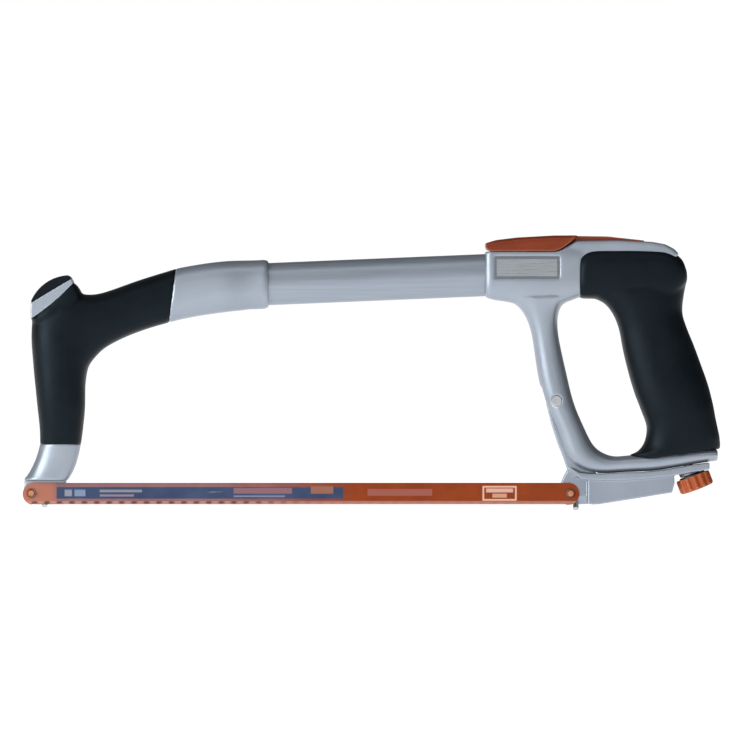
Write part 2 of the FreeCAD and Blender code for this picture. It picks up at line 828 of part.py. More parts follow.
def lid_plane(below):
    """Side view of the space that the lid's wide part fills, grown downwards."""
    x, up = handle_frame()
    mouth = x - size("collar_ahead")
    low = up + value_of(LID_LOW) - below
    return [
        (mouth - 2.0, low),
        (x - 8.6, low),
        (x - 5.0, low + 1.2),
        (x + 3.1 + below, up + 25.0),
        (x + 3.1, up + 40.0),
        (mouth - 2.0, up + 40.0),
    ]


def screw_line():
    """Knob's upper face centre and the screw's upward direction."""
    tilt = math.radians(size("screw_tilt"))
    start = V(size("reach") + size("knob_behind"), 0, size("knob_up"))
    return start, V(-math.sin(tilt), 0, math.cos(tilt))


def pivot_point():
    return size("reach") - size("pivot_ahead"), size("pivot_up")


def lever_slot():
    """Slot in the front leg that the lever's arm swings in."""
    x, up = handle_frame()
    half = size("arm_thick") / 2 + size("arm_gap")
    return prism(
        [
            (x - 22.0, 59.0),
            (x - 3.6, 59.0),
            (x - 2.2, 56.6),
            (x - 2.2, 50.6),
            (x + 3.4, 37.0),
            (x + 8.6, 24.0),
            (x + 12.5, 16.0),
            (x + 16.0, 8.0),
            (x - 22.0, 8.0),
        ],
        -half,
        half,
    )


def label_pocket():
    """Shallow pocket for the label plate in the collar's near side."""
    x, up = handle_frame()
    play = size("label_play")
    return Part.makeBox(
        size("label_long") + 2 * play,
        HALF,
        size("label_tall") + 2 * play,
        V(x - size("label_ahead") - play,
          size("label_thick") + play / 2 - size("collar_wide") / 2 - HALF,
          up + size("label_up") - play),
    )


def handle_cuts():
    """Everything that is bored or milled out of the handle casting."""
    x, up = handle_frame()
    gap = size("seat_gap")
    bay = size("bay_wide") / 2
    floor = up - size("bay_floor")
    slot = size("slot_wide") / 2
    px, pz = pivot_point()
    face, axis = screw_line()
    nut = face + axis * size("nut_up")
    foot, inward = tube_pin_place("rear")
    hinge_x = x + size("hinge_behind")
    hinge_z = up + size("hinge_rise")
    knuckle = size("knuckle_r") + size("knuckle_gap")
    leg = size("leg_wide") / 2
    head_y = leg - size("pivot_seat")
    cuts = [
        tube_block(size("tube_tall") + 2 * gap, size("tube_wide") + 2 * gap, 0.5),
        prism([(x - 28.0, floor), (x + 32.0, floor), (x + 32.0, up + 40.0),
               (x - 28.0, up + 40.0)], -bay, bay),
        prism(lid_plane(size("lid_gap")), -HALF, HALF),
        prism([(x - 10.0, up + 19.4), (x + 35.0, up + 19.4), (x + 35.0, up + 40.0),
               (x - 10.0, up + 40.0)], -slot, slot),
        rod(knuckle, (hinge_x, -slot, hinge_z), (0, 1, 0), 2 * slot),
        prism([(x + 32.0, hinge_z), (hinge_x + knuckle, hinge_z),
               (hinge_x + knuckle, up + 40.0), (x + 32.0, up + 40.0)], -slot, slot),
        rod(size("hinge_pin_r"), (hinge_x, -size("hinge_pin_near"), hinge_z),
            (0, 1, 0), HALF),
        lever_slot(),
        rod(size("pivot_r"), (px, -HALF, pz), (0, 1, 0), ACROSS),
        rod(size("pivot_head_r") + 2 * size("run_gap"), (px, -HALF, pz), (0, 1, 0),
            HALF - head_y),
        rod(size("nut_r") + size("run_gap"), (nut.x, -HALF, nut.z), (0, 1, 0), ACROSS),
        Part.makeCylinder(size("screw_r") + size("screw_play"),
                          size("screw_up") + 6.0, face, axis),
        rod(size("tube_pin_r"), foot - inward * FEED, inward, DRILL),
        label_pocket(),
    ]
    return cuts


def make_handle_casting():
    """Collar, storage housing, D-loop and the core inside the grip."""
    x, up = handle_frame()
    collar = loft(collar_stations(), 4.0, size("mouth_round"))
    leg = loft(leg_stations(), 2.5, 4.0)
    core = loft(core_stations(), 3.0)
    half = size("collar_wide") / 2
    half = half - size("rail_inset")
    rail = prism(rail_profile(), -half, half)
    rail = round_all(rail, size("rail_round"), runs_in_side_view)
    core_half = size("core_wide") / 2
    top_core = prism(
        [(x, up - 4.6), (x + 57.0, up - 4.6), (x + 57.0, up + 15.0), (x, up + 15.0)],
        -core_half,
        core_half,
    )
    body = collar.fuse([leg, core, rail, top_core])
    for cut in handle_cuts():
        body = body.cut(cut)
    solid_feature("handle_casting", body)
    return core.fuse([top_core, rail, leg, collar])


def make_rear_grip(inside):
    """Rubber grip moulded over the handle's rear leg and housing."""
    x, up = handle_frame()
    lower = loft(grip_stations(), 2.5)
    crown = loft(crown_stations(), 3.2)
    body = lower.fuse(crown)
    body = body.cut(inside)
    solids = sorted(body.Solids, key=lambda s: s.Volume)
    solid_feature("rear_grip", solids[-1])


def make_label_plate():
    """Blank plate let into the near side of the collar."""
    body = new_body("label_plate")
    sketch = new_sketch(body, "label_outline")
    add_polygon(sketch, [
        ("0", "0"),
        ("dims.label_long", "0"),
        ("dims.label_long", "dims.label_tall"),
        ("0", "dims.label_tall"),
    ])
    pad(body, sketch, "dims.label_thick", both=False)
    home(body, "label_plate", x="dims.reach - dims.label_ahead",
         y="-dims.collar_wide / 2 + dims.label_thick",
         z="dims.bow_height + dims.label_up")


# ---------------------------------------------------------------- lid

def make_lid():
    """Storage lid: a wide hood in front and a tongue between the rails."""
    body = new_body("storage_lid")
    hood = new_sketch(body, "hood_outline")
    # local origin at the hinge pin
    ahead = "-dims.collar_ahead - dims.hinge_behind"
    low = LID_LOW + " - dims.hinge_rise"
    add_polygon(hood, [
        (ahead, low + " + 1.9"),
        (ahead + " + 0.9", low + " + 0.7"),
        (ahead + " + 3.2", low),
        ("-8.9 - dims.hinge_behind", low),
        ("-5.6 - dims.hinge_behind", low + " + 1.2"),
        ("2.2 - dims.hinge_behind", "24.9 - dims.hinge_rise"),
        ("3.0 - dims.hinge_behind", "27.0 - dims.hinge_rise"),
        ("-10.0 - dims.hinge_behind", "26.9 - dims.hinge_rise"),
        ("-30.0 - dims.hinge_behind", "25.8 - dims.hinge_rise"),
        (ahead + " + 6", "24.4 - dims.hinge_rise"),
        (ahead, "22.6 - dims.hinge_rise"),
    ])
    pad(body, hood, "dims.lid_wide")
    half = size("lid_wide") / 2
    drop = size("hinge_rise")
    round_edges(
        body,
        lambda p: abs(abs(p.y) - half) < 1e-4 and p.z > 23.0 - drop
        and p.x > -size("collar_ahead") - size("hinge_behind") + 5.0,
        "dims.lid_round",
    )
    tongue = new_sketch(body, "tongue_outline")
    add_polygon(tongue, [
        ("-30 - dims.hinge_behind", "21.6 - dims.hinge_rise"),
        ("-3.4 - dims.hinge_behind", "19.8 - dims.hinge_rise"),
        ("0", "19.8 - dims.hinge_rise"),
        ("dims.knuckle_r * 0.94", "1.2"),
        ("dims.knuckle_r * 0.6", "24.2 - dims.hinge_rise"),
        ("-18", "26.4 - dims.hinge_rise"),
        ("-10 - dims.hinge_behind", "26.9 - dims.hinge_rise"),
        ("-30 - dims.hinge_behind", "25.7 - dims.hinge_rise"),
    ])
    pad(body, tongue, "dims.tongue_wide")
    rib = new_sketch(body, "rib_outline")
    add_polygon(rib, [
        ("-24 - dims.hinge_behind", low + " - 1"),
        ("-3.5 - dims.hinge_behind", low + " - 1"),
        ("-3.5 - dims.hinge_behind", low + " + 3.2"),
        ("-24 - dims.hinge_behind", low + " + 3.2"),
    ])
    pad(body, rib, "dims.bay_wide - 4 * dims.lid_gap")
    knuckle = new_sketch(body, "knuckle_outline")
    add_circle(knuckle, "0", "0", "dims.knuckle_r")
    pad(body, knuckle, "dims.tongue_wide")
    bore = new_sketch(body, "hinge_bore")
    add_circle(bore, "0", "0", "dims.hinge_pin_r + dims.run_gap")
    pocket(body, bore, "dims.tongue_wide * 2")
    home(body, "storage_lid", x="dims.reach + dims.hinge_behind",
         z="dims.bow_height + dims.hinge_rise")
    pin = doc.addObject("Part::Cylinder", "lid_hinge_pin")
    pin.setExpression("Radius", "dims.hinge_pin_r")
    pin.setExpression("Height", "dims.hinge_pin_near + dims.hinge_pin_far")
    pin.Placement = FreeCAD.Placement(V(0, 0, 0), FreeCAD.Rotation(V(1, 0, 0), -90))
    home(pin, "lid_hinge_pin", x="dims.reach + dims.hinge_behind", y="-dims.hinge_pin_near",
         z="dims.bow_height + dims.hinge_rise")


# ---------------------------------------------------------------- lever

def at(px, pz):
    """Point given from the rear blade pin, measured from the lever's pivot."""
    return ("%s + dims.pivot_ahead" % px, "%s - dims.pivot_up" % pz)


def lever_blank():
    """Arm, eye, flange, lower body and blade seat of the lever."""
    body = new_body("lever_blank")
    arm = new_sketch(body, "arm_outline")
    add_polygon(arm, [
        at(-13.6, 50.0), at(-10.6, 38.0), at(-7.4, 28.0), at(-4.2, 20.0),
        at(-2.2, 14.0), at(2.0, 9.0), at(15.1, 9.0), at(11.6, 17.0),
        at(7.2, 25.0), at(2.2, 37.0), at(-2.6, 50.0),
    ])
    pad(body, arm, "dims.arm_thick")
    eye = new_sketch(body, "eye_outline")
    add_circle(eye, "0", "0", "dims.eye_r")
    pad(body, eye, "dims.arm_thick")
    flange = new_sketch(body, "flange_outline")
    add_polygon(flange, [
        at(-0.6, 14.0), at(2.4, 10.6), at(5.0, 8.5), at(9.0, 7.7), at(20.0, 7.3),
        at(32.0, 7.5), at(44.0, 8.4), at(57.0, 10.0), at(66.0, 11.7),
        at(77.0, 13.4), at(77.0, 17.1), at(68.0, 15.9), at(55.0, 13.5),
        at(48.0, 12.6), at(40.0, 11.85), at(28.0, 11.45), at(18.0, 10.95), at(10.0, 11.0),
        at(5.0, 11.6), at(1.6, 13.4),
    ])
    pad(body, flange, "dims.flange_wide")
    lower = new_sketch(body, "lower_outline")
    add_polygon(lower, [
        at(9.4, 8.0), at(9.4, -5.8), at(12.0, -6.2), at(16.0, -6.0), at(26.0, -4.4),
        at(40.0, -2.2), at(50.0, -0.5), at(56.2, 0.4), at(57.6, 5.6), at(57.4, 10.4),
        at(44.0, 9.2), at(30.0, 8.4),
    ])
    pad(body, lower, "dims.lever_wide")
    seat = new_sketch(body, "seat_outline", offset="-dims.seat_y - dims.lug_thick")
    add_polygon(seat, [
        at(-5.2, 5.9), at(-3.9, 9.0), at(-1.6, 13.4), at(3.0, 10.5), at(11.0, 9.0),
        at(11.0, -6.0), at(6.0, -6.3), at(-3.0, -6.3), at(-5.0, -3.0),
    ])
    pad(body, seat, "dims.lug_thick", both=False)
    return body


def place(item, x="0", y="0", z="0", axis=None, angle=None):
    """Place a tool body by expressions, with one turn about an axis."""
    if axis is not None:
        turn(item, axis, angle)
    item.setExpression("Placement.Base.x", x)
    item.setExpression("Placement.Base.y", y)
    item.setExpression("Placement.Base.z", z)


def cylinder(name, radius, height):
    item = doc.addObject("Part::Cylinder", name)
    item.setExpression("Radius", radius)
    item.setExpression("Height", height)
    return item


def on_screw(sideways, up):
    """Point by distances across and up the screw, from the lever's pivot."""
    tilt = "dims.screw_tilt"
    x = "dims.knob_behind + dims.pivot_ahead + (%s) * cos(%s) - (%s) * sin(%s)"
    z = "dims.knob_up - dims.pivot_up + (%s) * sin(%s) + (%s) * cos(%s)"
    return x % (sideways, tilt, up, tilt), z % (sideways, tilt, up, tilt)


def screw_rod(name, radius, sideways, low, high):
    """Round tool along the screw, between two heights over the knob's face."""
    item = cylinder(name, radius, "(%s) - (%s)" % (high, low))
    x, z = on_screw(sideways, low)
    place(item, x, "0", z, V(0, 1, 0), "-dims.screw_tilt")
    return item


def cross_rod(name, radius, x, y, z, long):
    """Round tool along Y, which starts at y."""
    item = cylinder(name, radius, long)
    place(item, x, y, z, V(1, 0, 0), "-90")
    return item


def flush_rod(name, radius, x, z, inner, outer):
    """Round body square to the slanted face, from inside it to outside it."""
    item = cylinder(name, radius, "(%s) + (%s)" % (inner, outer))
    y = "dims.flush_y + (%s) * cos(dims.flush_angle)" % inner
    up = "%s - dims.flush_z + (%s) * sin(dims.flush_angle)" % (z, inner)
    place(item, x, y, up, V(1, 0, 0), "90 + dims.flush_angle")
    return item


def make_lever():
    """Bell-crank lever; its local origin is the pivot."""
    blank = lever_blank()
    face = "dims.run_gap * 2 + dims.washer_thick"
    boss = screw_rod("screw_boss", "dims.boss_r", "0", face, face + " + dims.boss_tall")
    whole = doc.addObject("Part::Fuse", "lever_with_boss")
    whole.Base = blank
    whole.Tool = boss
    slip = "dims.screw_r + dims.slot_play"
    slot = doc.addObject("Part::Box", "slot_middle")
    slot.setExpression("Length", "dims.slot_long")
    slot.setExpression("Width", "2 * (%s)" % slip)
    slot.Height = 30.0
    x, z = on_screw("0", "-10")
    place(slot, x, "-(%s)" % slip, z, V(0, 1, 0), "-dims.screw_tilt")
    wedge = doc.addObject("Part::Box", "flush_cut")
    wedge.Length = 20.0
    wedge.Width = 60.0
    wedge.Height = 30.0
    lean = "dims.flush_angle - 90"
    place(
        wedge,
        "dims.pivot_ahead - 10.6",
        "dims.flush_y - 30 * cos(%s) + 30 * sin(%s)" % (lean, lean),
        "-dims.pivot_up - dims.flush_z - 30 * sin(%s) - 30 * cos(%s)" % (lean, lean),
        V(1, 0, 0),
        lean,
    )
    low = "-dims.pivot_up"
    tools = [
        cross_rod("pivot_bore", "dims.pivot_r + dims.run_gap", "0", "-20", "0", "40"),
        cross_rod("peg_bore", "dims.peg_r", "dims.pivot_ahead", "-20", low,
                  "20 + dims.seat_y + dims.peg_in"),
        flush_rod("flush_bore", "dims.flush_root_r",
                  "dims.pivot_ahead + dims.flush_x_rear", low, "dims.flush_in", "6"),
        screw_rod("slot_near", slip, "0", "-10", "20"),
        screw_rod("slot_far", slip, "dims.slot_long", "-10", "20"),
        screw_rod("knob_room", "dims.knob_r + dims.knob_play", "0", "-12", face),
        slot,
    ]
    bores = doc.addObject("Part::MultiFuse", "lever_bores")
    bores.Shapes = tools
    lever = doc.addObject("Part::Cut", "lever_bored")
    lever.Base = whole
    lever.Tool = bores
    trimmed = doc.addObject("Part::Cut", "tension_lever")
    trimmed.Base = lever
    trimmed.Tool = wedge
    home(trimmed, "tension_lever", x="dims.reach - dims.pivot_ahead", z="dims.pivot_up")


def revolved(name, profile):
    """Body of revolution about its local Z from a profile of radius and height."""
    body = new_body(name)
    sketch = new_sketch(body, name + "_profile")
    add_polygon(sketch, profile)
    feature = body.newObject("PartDesign::Revolution", name + "_turn")
    feature.Profile = sketch
    feature.ReferenceAxis = (sketch, ["V_Axis"])
    feature.Angle = 360.0
    body.Tip = feature
    doc.recompute()
    return body


def make_pivot_pin():
    """Headed pin through the leg; its head sits in a spot face."""
    long = "dims.leg_wide - dims.pivot_seat - dims.pivot_short"
    body = revolved("lever_pivot_pin", [
        ("0", "dims.pivot_dimple"),
        ("dims.pivot_dimple_r", "dims.pivot_dimple"),
        ("dims.pivot_dimple_r", "0"),
        ("dims.pivot_head_r - 0.3", "0"),
        ("dims.pivot_head_r", "0.3"),
        ("dims.pivot_head_r", "dims.pivot_head"),
        ("dims.pivot_r", "dims.pivot_head"),
        ("dims.pivot_r", "dims.pivot_head + " + long),
        ("0", "dims.pivot_head + " + long),
    ])
    turn(body, V(1, 0, 0), "-90")
    home(body, "lever_pivot_pin", x="dims.reach - dims.pivot_ahead",
         y="-dims.leg_wide / 2 + dims.pivot_seat - dims.pivot_head", z="dims.pivot_up")


def make_screw_parts():
    """Knob, its screw, the domed washer and the cross nut."""
    knob_x = "dims.reach + dims.knob_behind"
    depth = "-dims.screw_in"
    knob = revolved("tension_knob", [
        ("0", depth),
        ("dims.screw_r", depth),
        ("dims.screw_r", "0"),
        ("dims.knob_r - 0.6", "0"),
        ("dims.knob_r", "-0.6"),
        ("dims.knob_r", "dims.knob_dome - dims.knob_tall"),
        ("dims.knob_r - 1.0", "dims.knob_dome * 0.3 - dims.knob_tall"),
        ("dims.knob_r * 0.55", "-dims.knob_tall"),
        ("0", "-dims.knob_tall"),
    ])
    flute = new_sketch(knob, "flute_outline", role="XY_Plane")
    add_circle(flute, "dims.knob_r + dims.flute_out", "0", "dims.flute_r")
    cut = pocket(knob, flute, "dims.knob_tall * 3")
    flutes = knob.newObject("PartDesign::PolarPattern", "flute_ring")
    flutes.Originals = [cut]
    upright = [f for f in knob.Origin.OriginFeatures if f.Role == "Z_Axis"][0]
    flutes.Axis = (upright, [""])
    flutes.Angle = 360.0
    flutes.setExpression("Occurrences", "dims.flute_count")
    knob.Tip = flutes
    doc.recompute()
    turn(knob, V(0, 1, 0), "-dims.screw_tilt")
    home(knob, "tension_knob", x=knob_x, z="dims.knob_up")

    screw = cylinder("tension_screw", "dims.screw_r", "dims.screw_in + dims.screw_up")
    turn(screw, V(0, 1, 0), "-dims.screw_tilt")
    home(
        screw,
        "tension_screw",
        x=knob_x + " + dims.screw_in * sin(dims.screw_tilt)",
        z="dims.knob_up - dims.screw_in * cos(dims.screw_tilt)",
    )

    bottom = "dims.run_gap"
    washer = revolved("thrust_washer", [
        ("dims.screw_r + dims.run_gap", bottom),
        ("dims.washer_r", bottom),
        ("dims.washer_r", bottom + " + dims.washer_thick - dims.washer_dome"),
        ("dims.screw_r + dims.run_gap", bottom + " + dims.washer_thick"),
    ])
    turn(washer, V(0, 1, 0), "-dims.screw_tilt")
    home(washer, "thrust_washer", x=knob_x, z="dims.knob_up")

    barrel = cylinder("nut_barrel", "dims.nut_r", "dims.nut_long")
    place(barrel, "0", "-dims.nut_long / 2", "0", V(1, 0, 0), "-90")
    thread = cylinder("nut_bore", "dims.screw_r + dims.run_gap", "40")
    place(thread, "20 * sin(dims.screw_tilt)", "0", "-20 * cos(dims.screw_tilt)",
          V(0, 1, 0), "-dims.screw_tilt")
    nut = doc.addObject("Part::Cut", "trunnion_nut")
    nut.Base = barrel
    nut.Tool = thread
    home(
        nut,
        "trunnion_nut",
        x=knob_x + " - dims.nut_up * sin(dims.screw_tilt)",
        z="dims.knob_up + dims.nut_up * cos(dims.screw_tilt)",
    )


# ---------------------------------------------------------------- blade

def make_blade():
    """Blade with round ends; its local origin is between the hole rows."""
    body = new_body("blade")
    strip = new_sketch(body, "strip_outline")
    half = "dims.blade_tall / 2"
    left = "dims.hole_play - dims.blade_end + " + half
    right = "dims.reach - dims.hole_play + dims.blade_end - " + half
    add_polygon(strip, [
        (left, "-" + half), (right, "-" + half), (right, half), (left, half),
    ])
    pad(body, strip, "dims.blade_thick")
    for name, x in (("front_end", left), ("rear_end", right)):
        end = new_sketch(body, name)
        add_circle(end, x, "0", half)
        pad(body, end, "dims.blade_thick")
    for name, x in (
        ("front_hole", "dims.hole_play"),
        ("rear_hole", "dims.reach - dims.hole_play"),
    ):
        hole = new_sketch(body, name)
        add_circle(hole, x, "dims.blade_drop", "dims.hole_r")
        pocket(body, hole, "dims.blade_thick * 4")
    home(body, "blade", z="-dims.blade_drop")


def make_blade_pins():
    """Pins that hold the blade, and those for its slanted position."""
    for name, x in (("front_blade_pin", "0"), ("rear_blade_pin", "dims.reach")):
        peg = cylinder(name, "dims.peg_r", "dims.peg_in + dims.peg_out")
        turn(peg, V(1, 0, 0), "-90")
        home(peg, name, x=x, y="dims.seat_y - dims.peg_out")
    for name, x, out in (
        ("front_flush_pin", "dims.flush_x_front", "dims.flush_out_front"),
        ("rear_flush_pin", "dims.reach + dims.flush_x_rear", "dims.flush_out_rear"),
    ):
        peg = revolved(name, [
            ("0", "0"),
            ("dims.flush_root_r", "0"),
            ("dims.flush_root_r", "dims.flush_in"),
            ("dims.peg_r", "dims.flush_in"),
            ("dims.peg_r", "dims.flush_in + " + out),
            ("0", "dims.flush_in + " + out),
        ])
        turn(peg, V(1, 0, 0), "90 + dims.flush_angle")
        home(
            peg,
            name,
            x=x,
            y="dims.flush_y + dims.flush_in * cos(dims.flush_angle)",
            z="-dims.flush_z + dims.flush_in * sin(dims.flush_angle)",
        )


# ---------------------------------------------------------------- build

def check_and_write():
    """Stop on any failed object, then write one file for each sub-part."""
    doc.recompute()
    for item in doc.Objects:
        if "Invalid" in item.State or "Error" in item.State:
            raise RuntimeError("%s failed: %s" % (item.Label, item.State))
    for item in NODES:
        shape = item.Shape
        if shape.isNull() or not shape.isValid() or not shape.Solids:
            raise RuntimeError(item.Label + " has no valid solid")
    os.makedirs("parts", exist_ok=True)
    for item in NODES:
        item.Shape.exportStep("parts/%s.step" % item.Label)
        box = item.Shape.BoundBox
        print("%-18s solids %d volume %9.1f  x %7.1f..%7.1f y %5.1f..%5.1f z %6.1f..%6.1f"
              % (item.Label, len(item.Shape.Solids), item.Shape.Volume,
                 box.XMin, box.XMax, box.YMin, box.YMax, box.ZMin, box.ZMax))


make_tube()
make_tube_pins()
make_front_casting()
make_thumb_pad()
make_rear_grip(make_handle_casting())
make_label_plate()
make_lid()
make_lever()
make_pivot_pin()
make_screw_parts()
make_blade()
make_blade_pins()
check_and_write()
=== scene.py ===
import math

import bmesh
import bpy
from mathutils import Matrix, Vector


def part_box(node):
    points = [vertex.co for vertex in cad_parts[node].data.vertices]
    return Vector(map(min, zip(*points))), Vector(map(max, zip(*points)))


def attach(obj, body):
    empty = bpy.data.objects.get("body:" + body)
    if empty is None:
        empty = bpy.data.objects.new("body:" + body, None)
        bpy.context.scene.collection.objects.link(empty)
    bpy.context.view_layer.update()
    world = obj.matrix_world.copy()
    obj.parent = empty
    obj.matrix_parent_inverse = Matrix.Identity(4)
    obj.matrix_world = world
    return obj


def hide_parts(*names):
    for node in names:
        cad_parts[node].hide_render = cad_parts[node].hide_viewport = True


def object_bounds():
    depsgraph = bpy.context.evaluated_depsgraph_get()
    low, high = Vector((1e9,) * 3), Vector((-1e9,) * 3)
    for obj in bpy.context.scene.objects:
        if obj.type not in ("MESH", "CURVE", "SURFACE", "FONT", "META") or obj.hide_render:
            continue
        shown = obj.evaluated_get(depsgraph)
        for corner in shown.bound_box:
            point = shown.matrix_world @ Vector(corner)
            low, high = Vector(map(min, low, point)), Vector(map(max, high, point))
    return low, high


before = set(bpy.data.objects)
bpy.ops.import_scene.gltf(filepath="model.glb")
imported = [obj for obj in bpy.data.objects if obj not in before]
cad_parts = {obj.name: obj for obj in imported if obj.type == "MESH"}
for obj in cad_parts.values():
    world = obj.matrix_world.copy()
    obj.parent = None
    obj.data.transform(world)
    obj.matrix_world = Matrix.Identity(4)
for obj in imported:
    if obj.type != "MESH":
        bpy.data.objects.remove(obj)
CAD_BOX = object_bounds()

MM = 0.001


def middle(node):
    """Middle of a node's box, in metres."""
    low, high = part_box(node)
    return (Vector(low) + Vector(high)) / 2


FRONT = middle("front_blade_pin")
REAR = middle("rear_blade_pin")

# Sizes in millimetres.
UP = 116.4              # tube's centre line above the pins, at the front
PAD_HALF = 11.9         # half the thumb pad's width
TOOTH = 25.4 / 24       # one tooth of 24 to the inch
TOOTH_DEEP = 0.75
TOOTH_BACK = 0.30       # share of a tooth from its tip to its root
TOOTH_REST = 0.55       # share of a tooth from its tip to the end of its root
ROOT_RISE = 0.95        # depth at the end of the root, as a share
PLAIN_END = 1.0         # bare edge between the round ends and the teeth
HOLE_R = 2.1
BLADE_END = 5.3         # blade beyond the middle of each hole
WAVE = 6.93             # length of one wave of the set
WAVE_OUT = 0.17         # how far the set leans to each side
WELD_NEAR = 0.005       # points of a CAD mesh nearer than this are merged
SLIVER = 0.06           # points nearer than this are merged after a cut
PICTURE_WIDE = 409.0    # width that the camera sees at the saw's middle plane
PICTURE_MIDDLE = (187.0, 70.0)  # what it looks at, from the front pin
FLOOR_GAP = 0.2         # floor below the lowest point
FLOOR_SIZE = 30000.0


def front_point(x, z, y=0.0):
    """Point in metres from millimetres measured from the front blade pin."""
    return Vector((FRONT.x + x * MM, y * MM, FRONT.z + z * MM))


def rear_point(x, z, y=0.0):
    """Point in metres from millimetres measured from the rear blade pin."""
    return Vector((REAR.x + x * MM, y * MM, REAR.z + z * MM))


# ------------------------------------------------------------------ meshes

def new_object(name, mesh):
    """Add an object with this mesh to the scene."""
    piece = bpy.data.objects.new(name, mesh)
    bpy.context.scene.collection.objects.link(piece)
    return piece


def shade_smooth(mesh):
    for polygon in mesh.polygons:
        polygon.use_smooth = True


def catmull(a, b, c, d, t):
    """Point on the smooth curve from b to c."""
    return 0.5 * (
        2 * b
        + (c - a) * t
        + (2 * a - 5 * b + 4 * c - d) * t * t
        + (3 * b - a - 3 * c + d) * t * t * t
    )


def smooth_stations(stations, steps):
    """Stations on smooth curves through the given ones."""
    rows = [Vector((a[0], a[1], b[0], b[1])) for a, b, w in stations]
    wide = [w for a, b, w in stations]
    rows = [rows[0] * 2 - rows[1]] + rows + [rows[-1] * 2 - rows[-2]]
    wide = [wide[0]] + wide + [wide[-1]]
    result = []
    for i in range(1, len(rows) - 2):
        for k in range(steps):
            t = k / steps
            row = catmull(rows[i - 1], rows[i], rows[i + 1], rows[i + 2], t)
            w = catmull(wide[i - 1], wide[i], wide[i + 1], wide[i + 2], t)
            result.append(((row[0], row[1]), (row[2], row[3]), w))
    last = rows[-2]
    result.append(((last[0], last[1]), (last[2], last[3]), wide[-2]))
    return result


def loft(stations, power, place, steps=6, around=40):
    """Closed mesh through stations of outer point, inner point and width."""
    rings = smooth_stations(stations, steps)
    verts = []
    faces = []
    for outer, inner, width in rings:
        a = place(*outer)
        b = place(*inner)
        centre = (a + b) / 2
        along = (b - a) / 2
        for i in range(around):
            angle = 2 * math.pi * i / around
            c = math.cos(angle)
            s = math.sin(angle)
            reach = math.copysign(abs(c) ** (2 / power), c)
            out = math.copysign(abs(s) ** (2 / power), s) * width / 2 * MM
            verts.append(centre + along * reach + Vector((0, out, 0)))
    for r in range(len(rings) - 1):
        for i in range(around):
            j = (i + 1) % around
            faces.append((
                r * around + i, r * around + j,
                (r + 1) * around + j, (r + 1) * around + i,
            ))
    faces.append(tuple(reversed(range(around))))
    top = (len(rings) - 1) * around
    faces.append(tuple(range(top, top + around)))
    mesh = bpy.data.meshes.new("loft")
    mesh.from_pydata(verts, [], faces)
    fix_normals(mesh)
    return mesh


def fix_normals(mesh):
    """Turn every face to look outward."""
    work = bmesh.new()
    work.from_mesh(mesh)
    bmesh.ops.recalc_face_normals(work, faces=work.faces)
    work.to_mesh(mesh)
    work.free()


def prism(points, half_width):
    """Closed block across Y from side-view points in metres."""
    verts = [Vector((p.x, -half_width * MM, p.z)) for p in points]
    verts += [Vector((p.x, half_width * MM, p.z)) for p in points]
    count = len(points)
    faces = [tuple(range(count)), tuple(reversed(range(count, 2 * count)))]
    for i in range(count):
        j = (i + 1) % count
        faces.append((i, j, count + j, count + i))
    mesh = bpy.data.meshes.new("prism")
    mesh.from_pydata(verts, [], faces)
    fix_normals(mesh)
    return mesh


def arc(a, b, c, count=12):
    """Points on the circle through three side-view points."""
    ax, az, bx, bz, cx, cz = a[0], a[1], b[0], b[1], c[0], c[1]
    d = 2 * (ax * (bz - cz) + bx * (cz - az) + cx * (az - bz))
    ux = (
        (ax * ax + az * az) * (bz - cz)
        + (bx * bx + bz * bz) * (cz - az)
        + (cx * cx + cz * cz) * (az - bz)
    ) / d
    uz = (
        (ax * ax + az * az) * (cx - bx)
        + (bx * bx + bz * bz) * (ax - cx)
        + (cx * cx + cz * cz) * (bx - ax)
    ) / d
    radius = math.hypot(ax - ux, az - uz)
    first = math.atan2(az - uz, ax - ux)
    mid = math.atan2(bz - uz, bx - ux)
    last = math.atan2(cz - uz, cx - ux)
    turn = (last - first) % (2 * math.pi)
    if (mid - first) % (2 * math.pi) > turn:
        turn -= 2 * math.pi
    return [
        (ux + radius * math.cos(first + turn * i / count),
         uz + radius * math.sin(first + turn * i / count))
        for i in range(count + 1)
    ]


def join(meshes):
    """One mesh that holds the given ones."""
    work = bmesh.new()
    for mesh in meshes:
        work.from_mesh(mesh)
    joined = bpy.data.meshes.new("joined")
    work.to_mesh(joined)
    work.free()
    return joined


def applied(piece):
    """Replace a piece's mesh by the result of its modifiers."""
    depsgraph = bpy.context.evaluated_depsgraph_get()
    mesh = bpy.data.meshes.new_from_object(piece.evaluated_get(depsgraph))
    piece.modifiers.clear()
    piece.data = mesh


def melt(piece, voxel, rounds):
    """Fuse a piece's parts into one skin and round its edges."""
    skin = piece.modifiers.new("skin", "REMESH")
    skin.mode = "VOXEL"
    skin.voxel_size = voxel * MM
    skin.use_smooth_shade = True
    soften = piece.modifiers.new("soften", "SMOOTH")
    soften.factor = 0.5
    soften.iterations = rounds


def cut(piece, cutter_mesh):
    """Cut the cutter's shape out of a piece."""
    cutter = new_object("cutter", cutter_mesh)
    tool = piece.modifiers.new("cut", "BOOLEAN")
    tool.operation = "DIFFERENCE"
    tool.solver = "EXACT"
    tool.object = cutter
    applied(piece)
    bpy.data.objects.remove(cutter)
    close_slivers(piece.data)


def close_slivers(mesh):
    """Close the thin slivers that a cut leaves along its edge."""
    work = bmesh.new()
    work.from_mesh(mesh)
    bmesh.ops.triangulate(work, faces=work.faces)
    bmesh.ops.remove_doubles(work, verts=work.verts, dist=SLIVER * MM)
    work.to_mesh(mesh)
    work.free()


# ------------------------------------------------------------------ materials

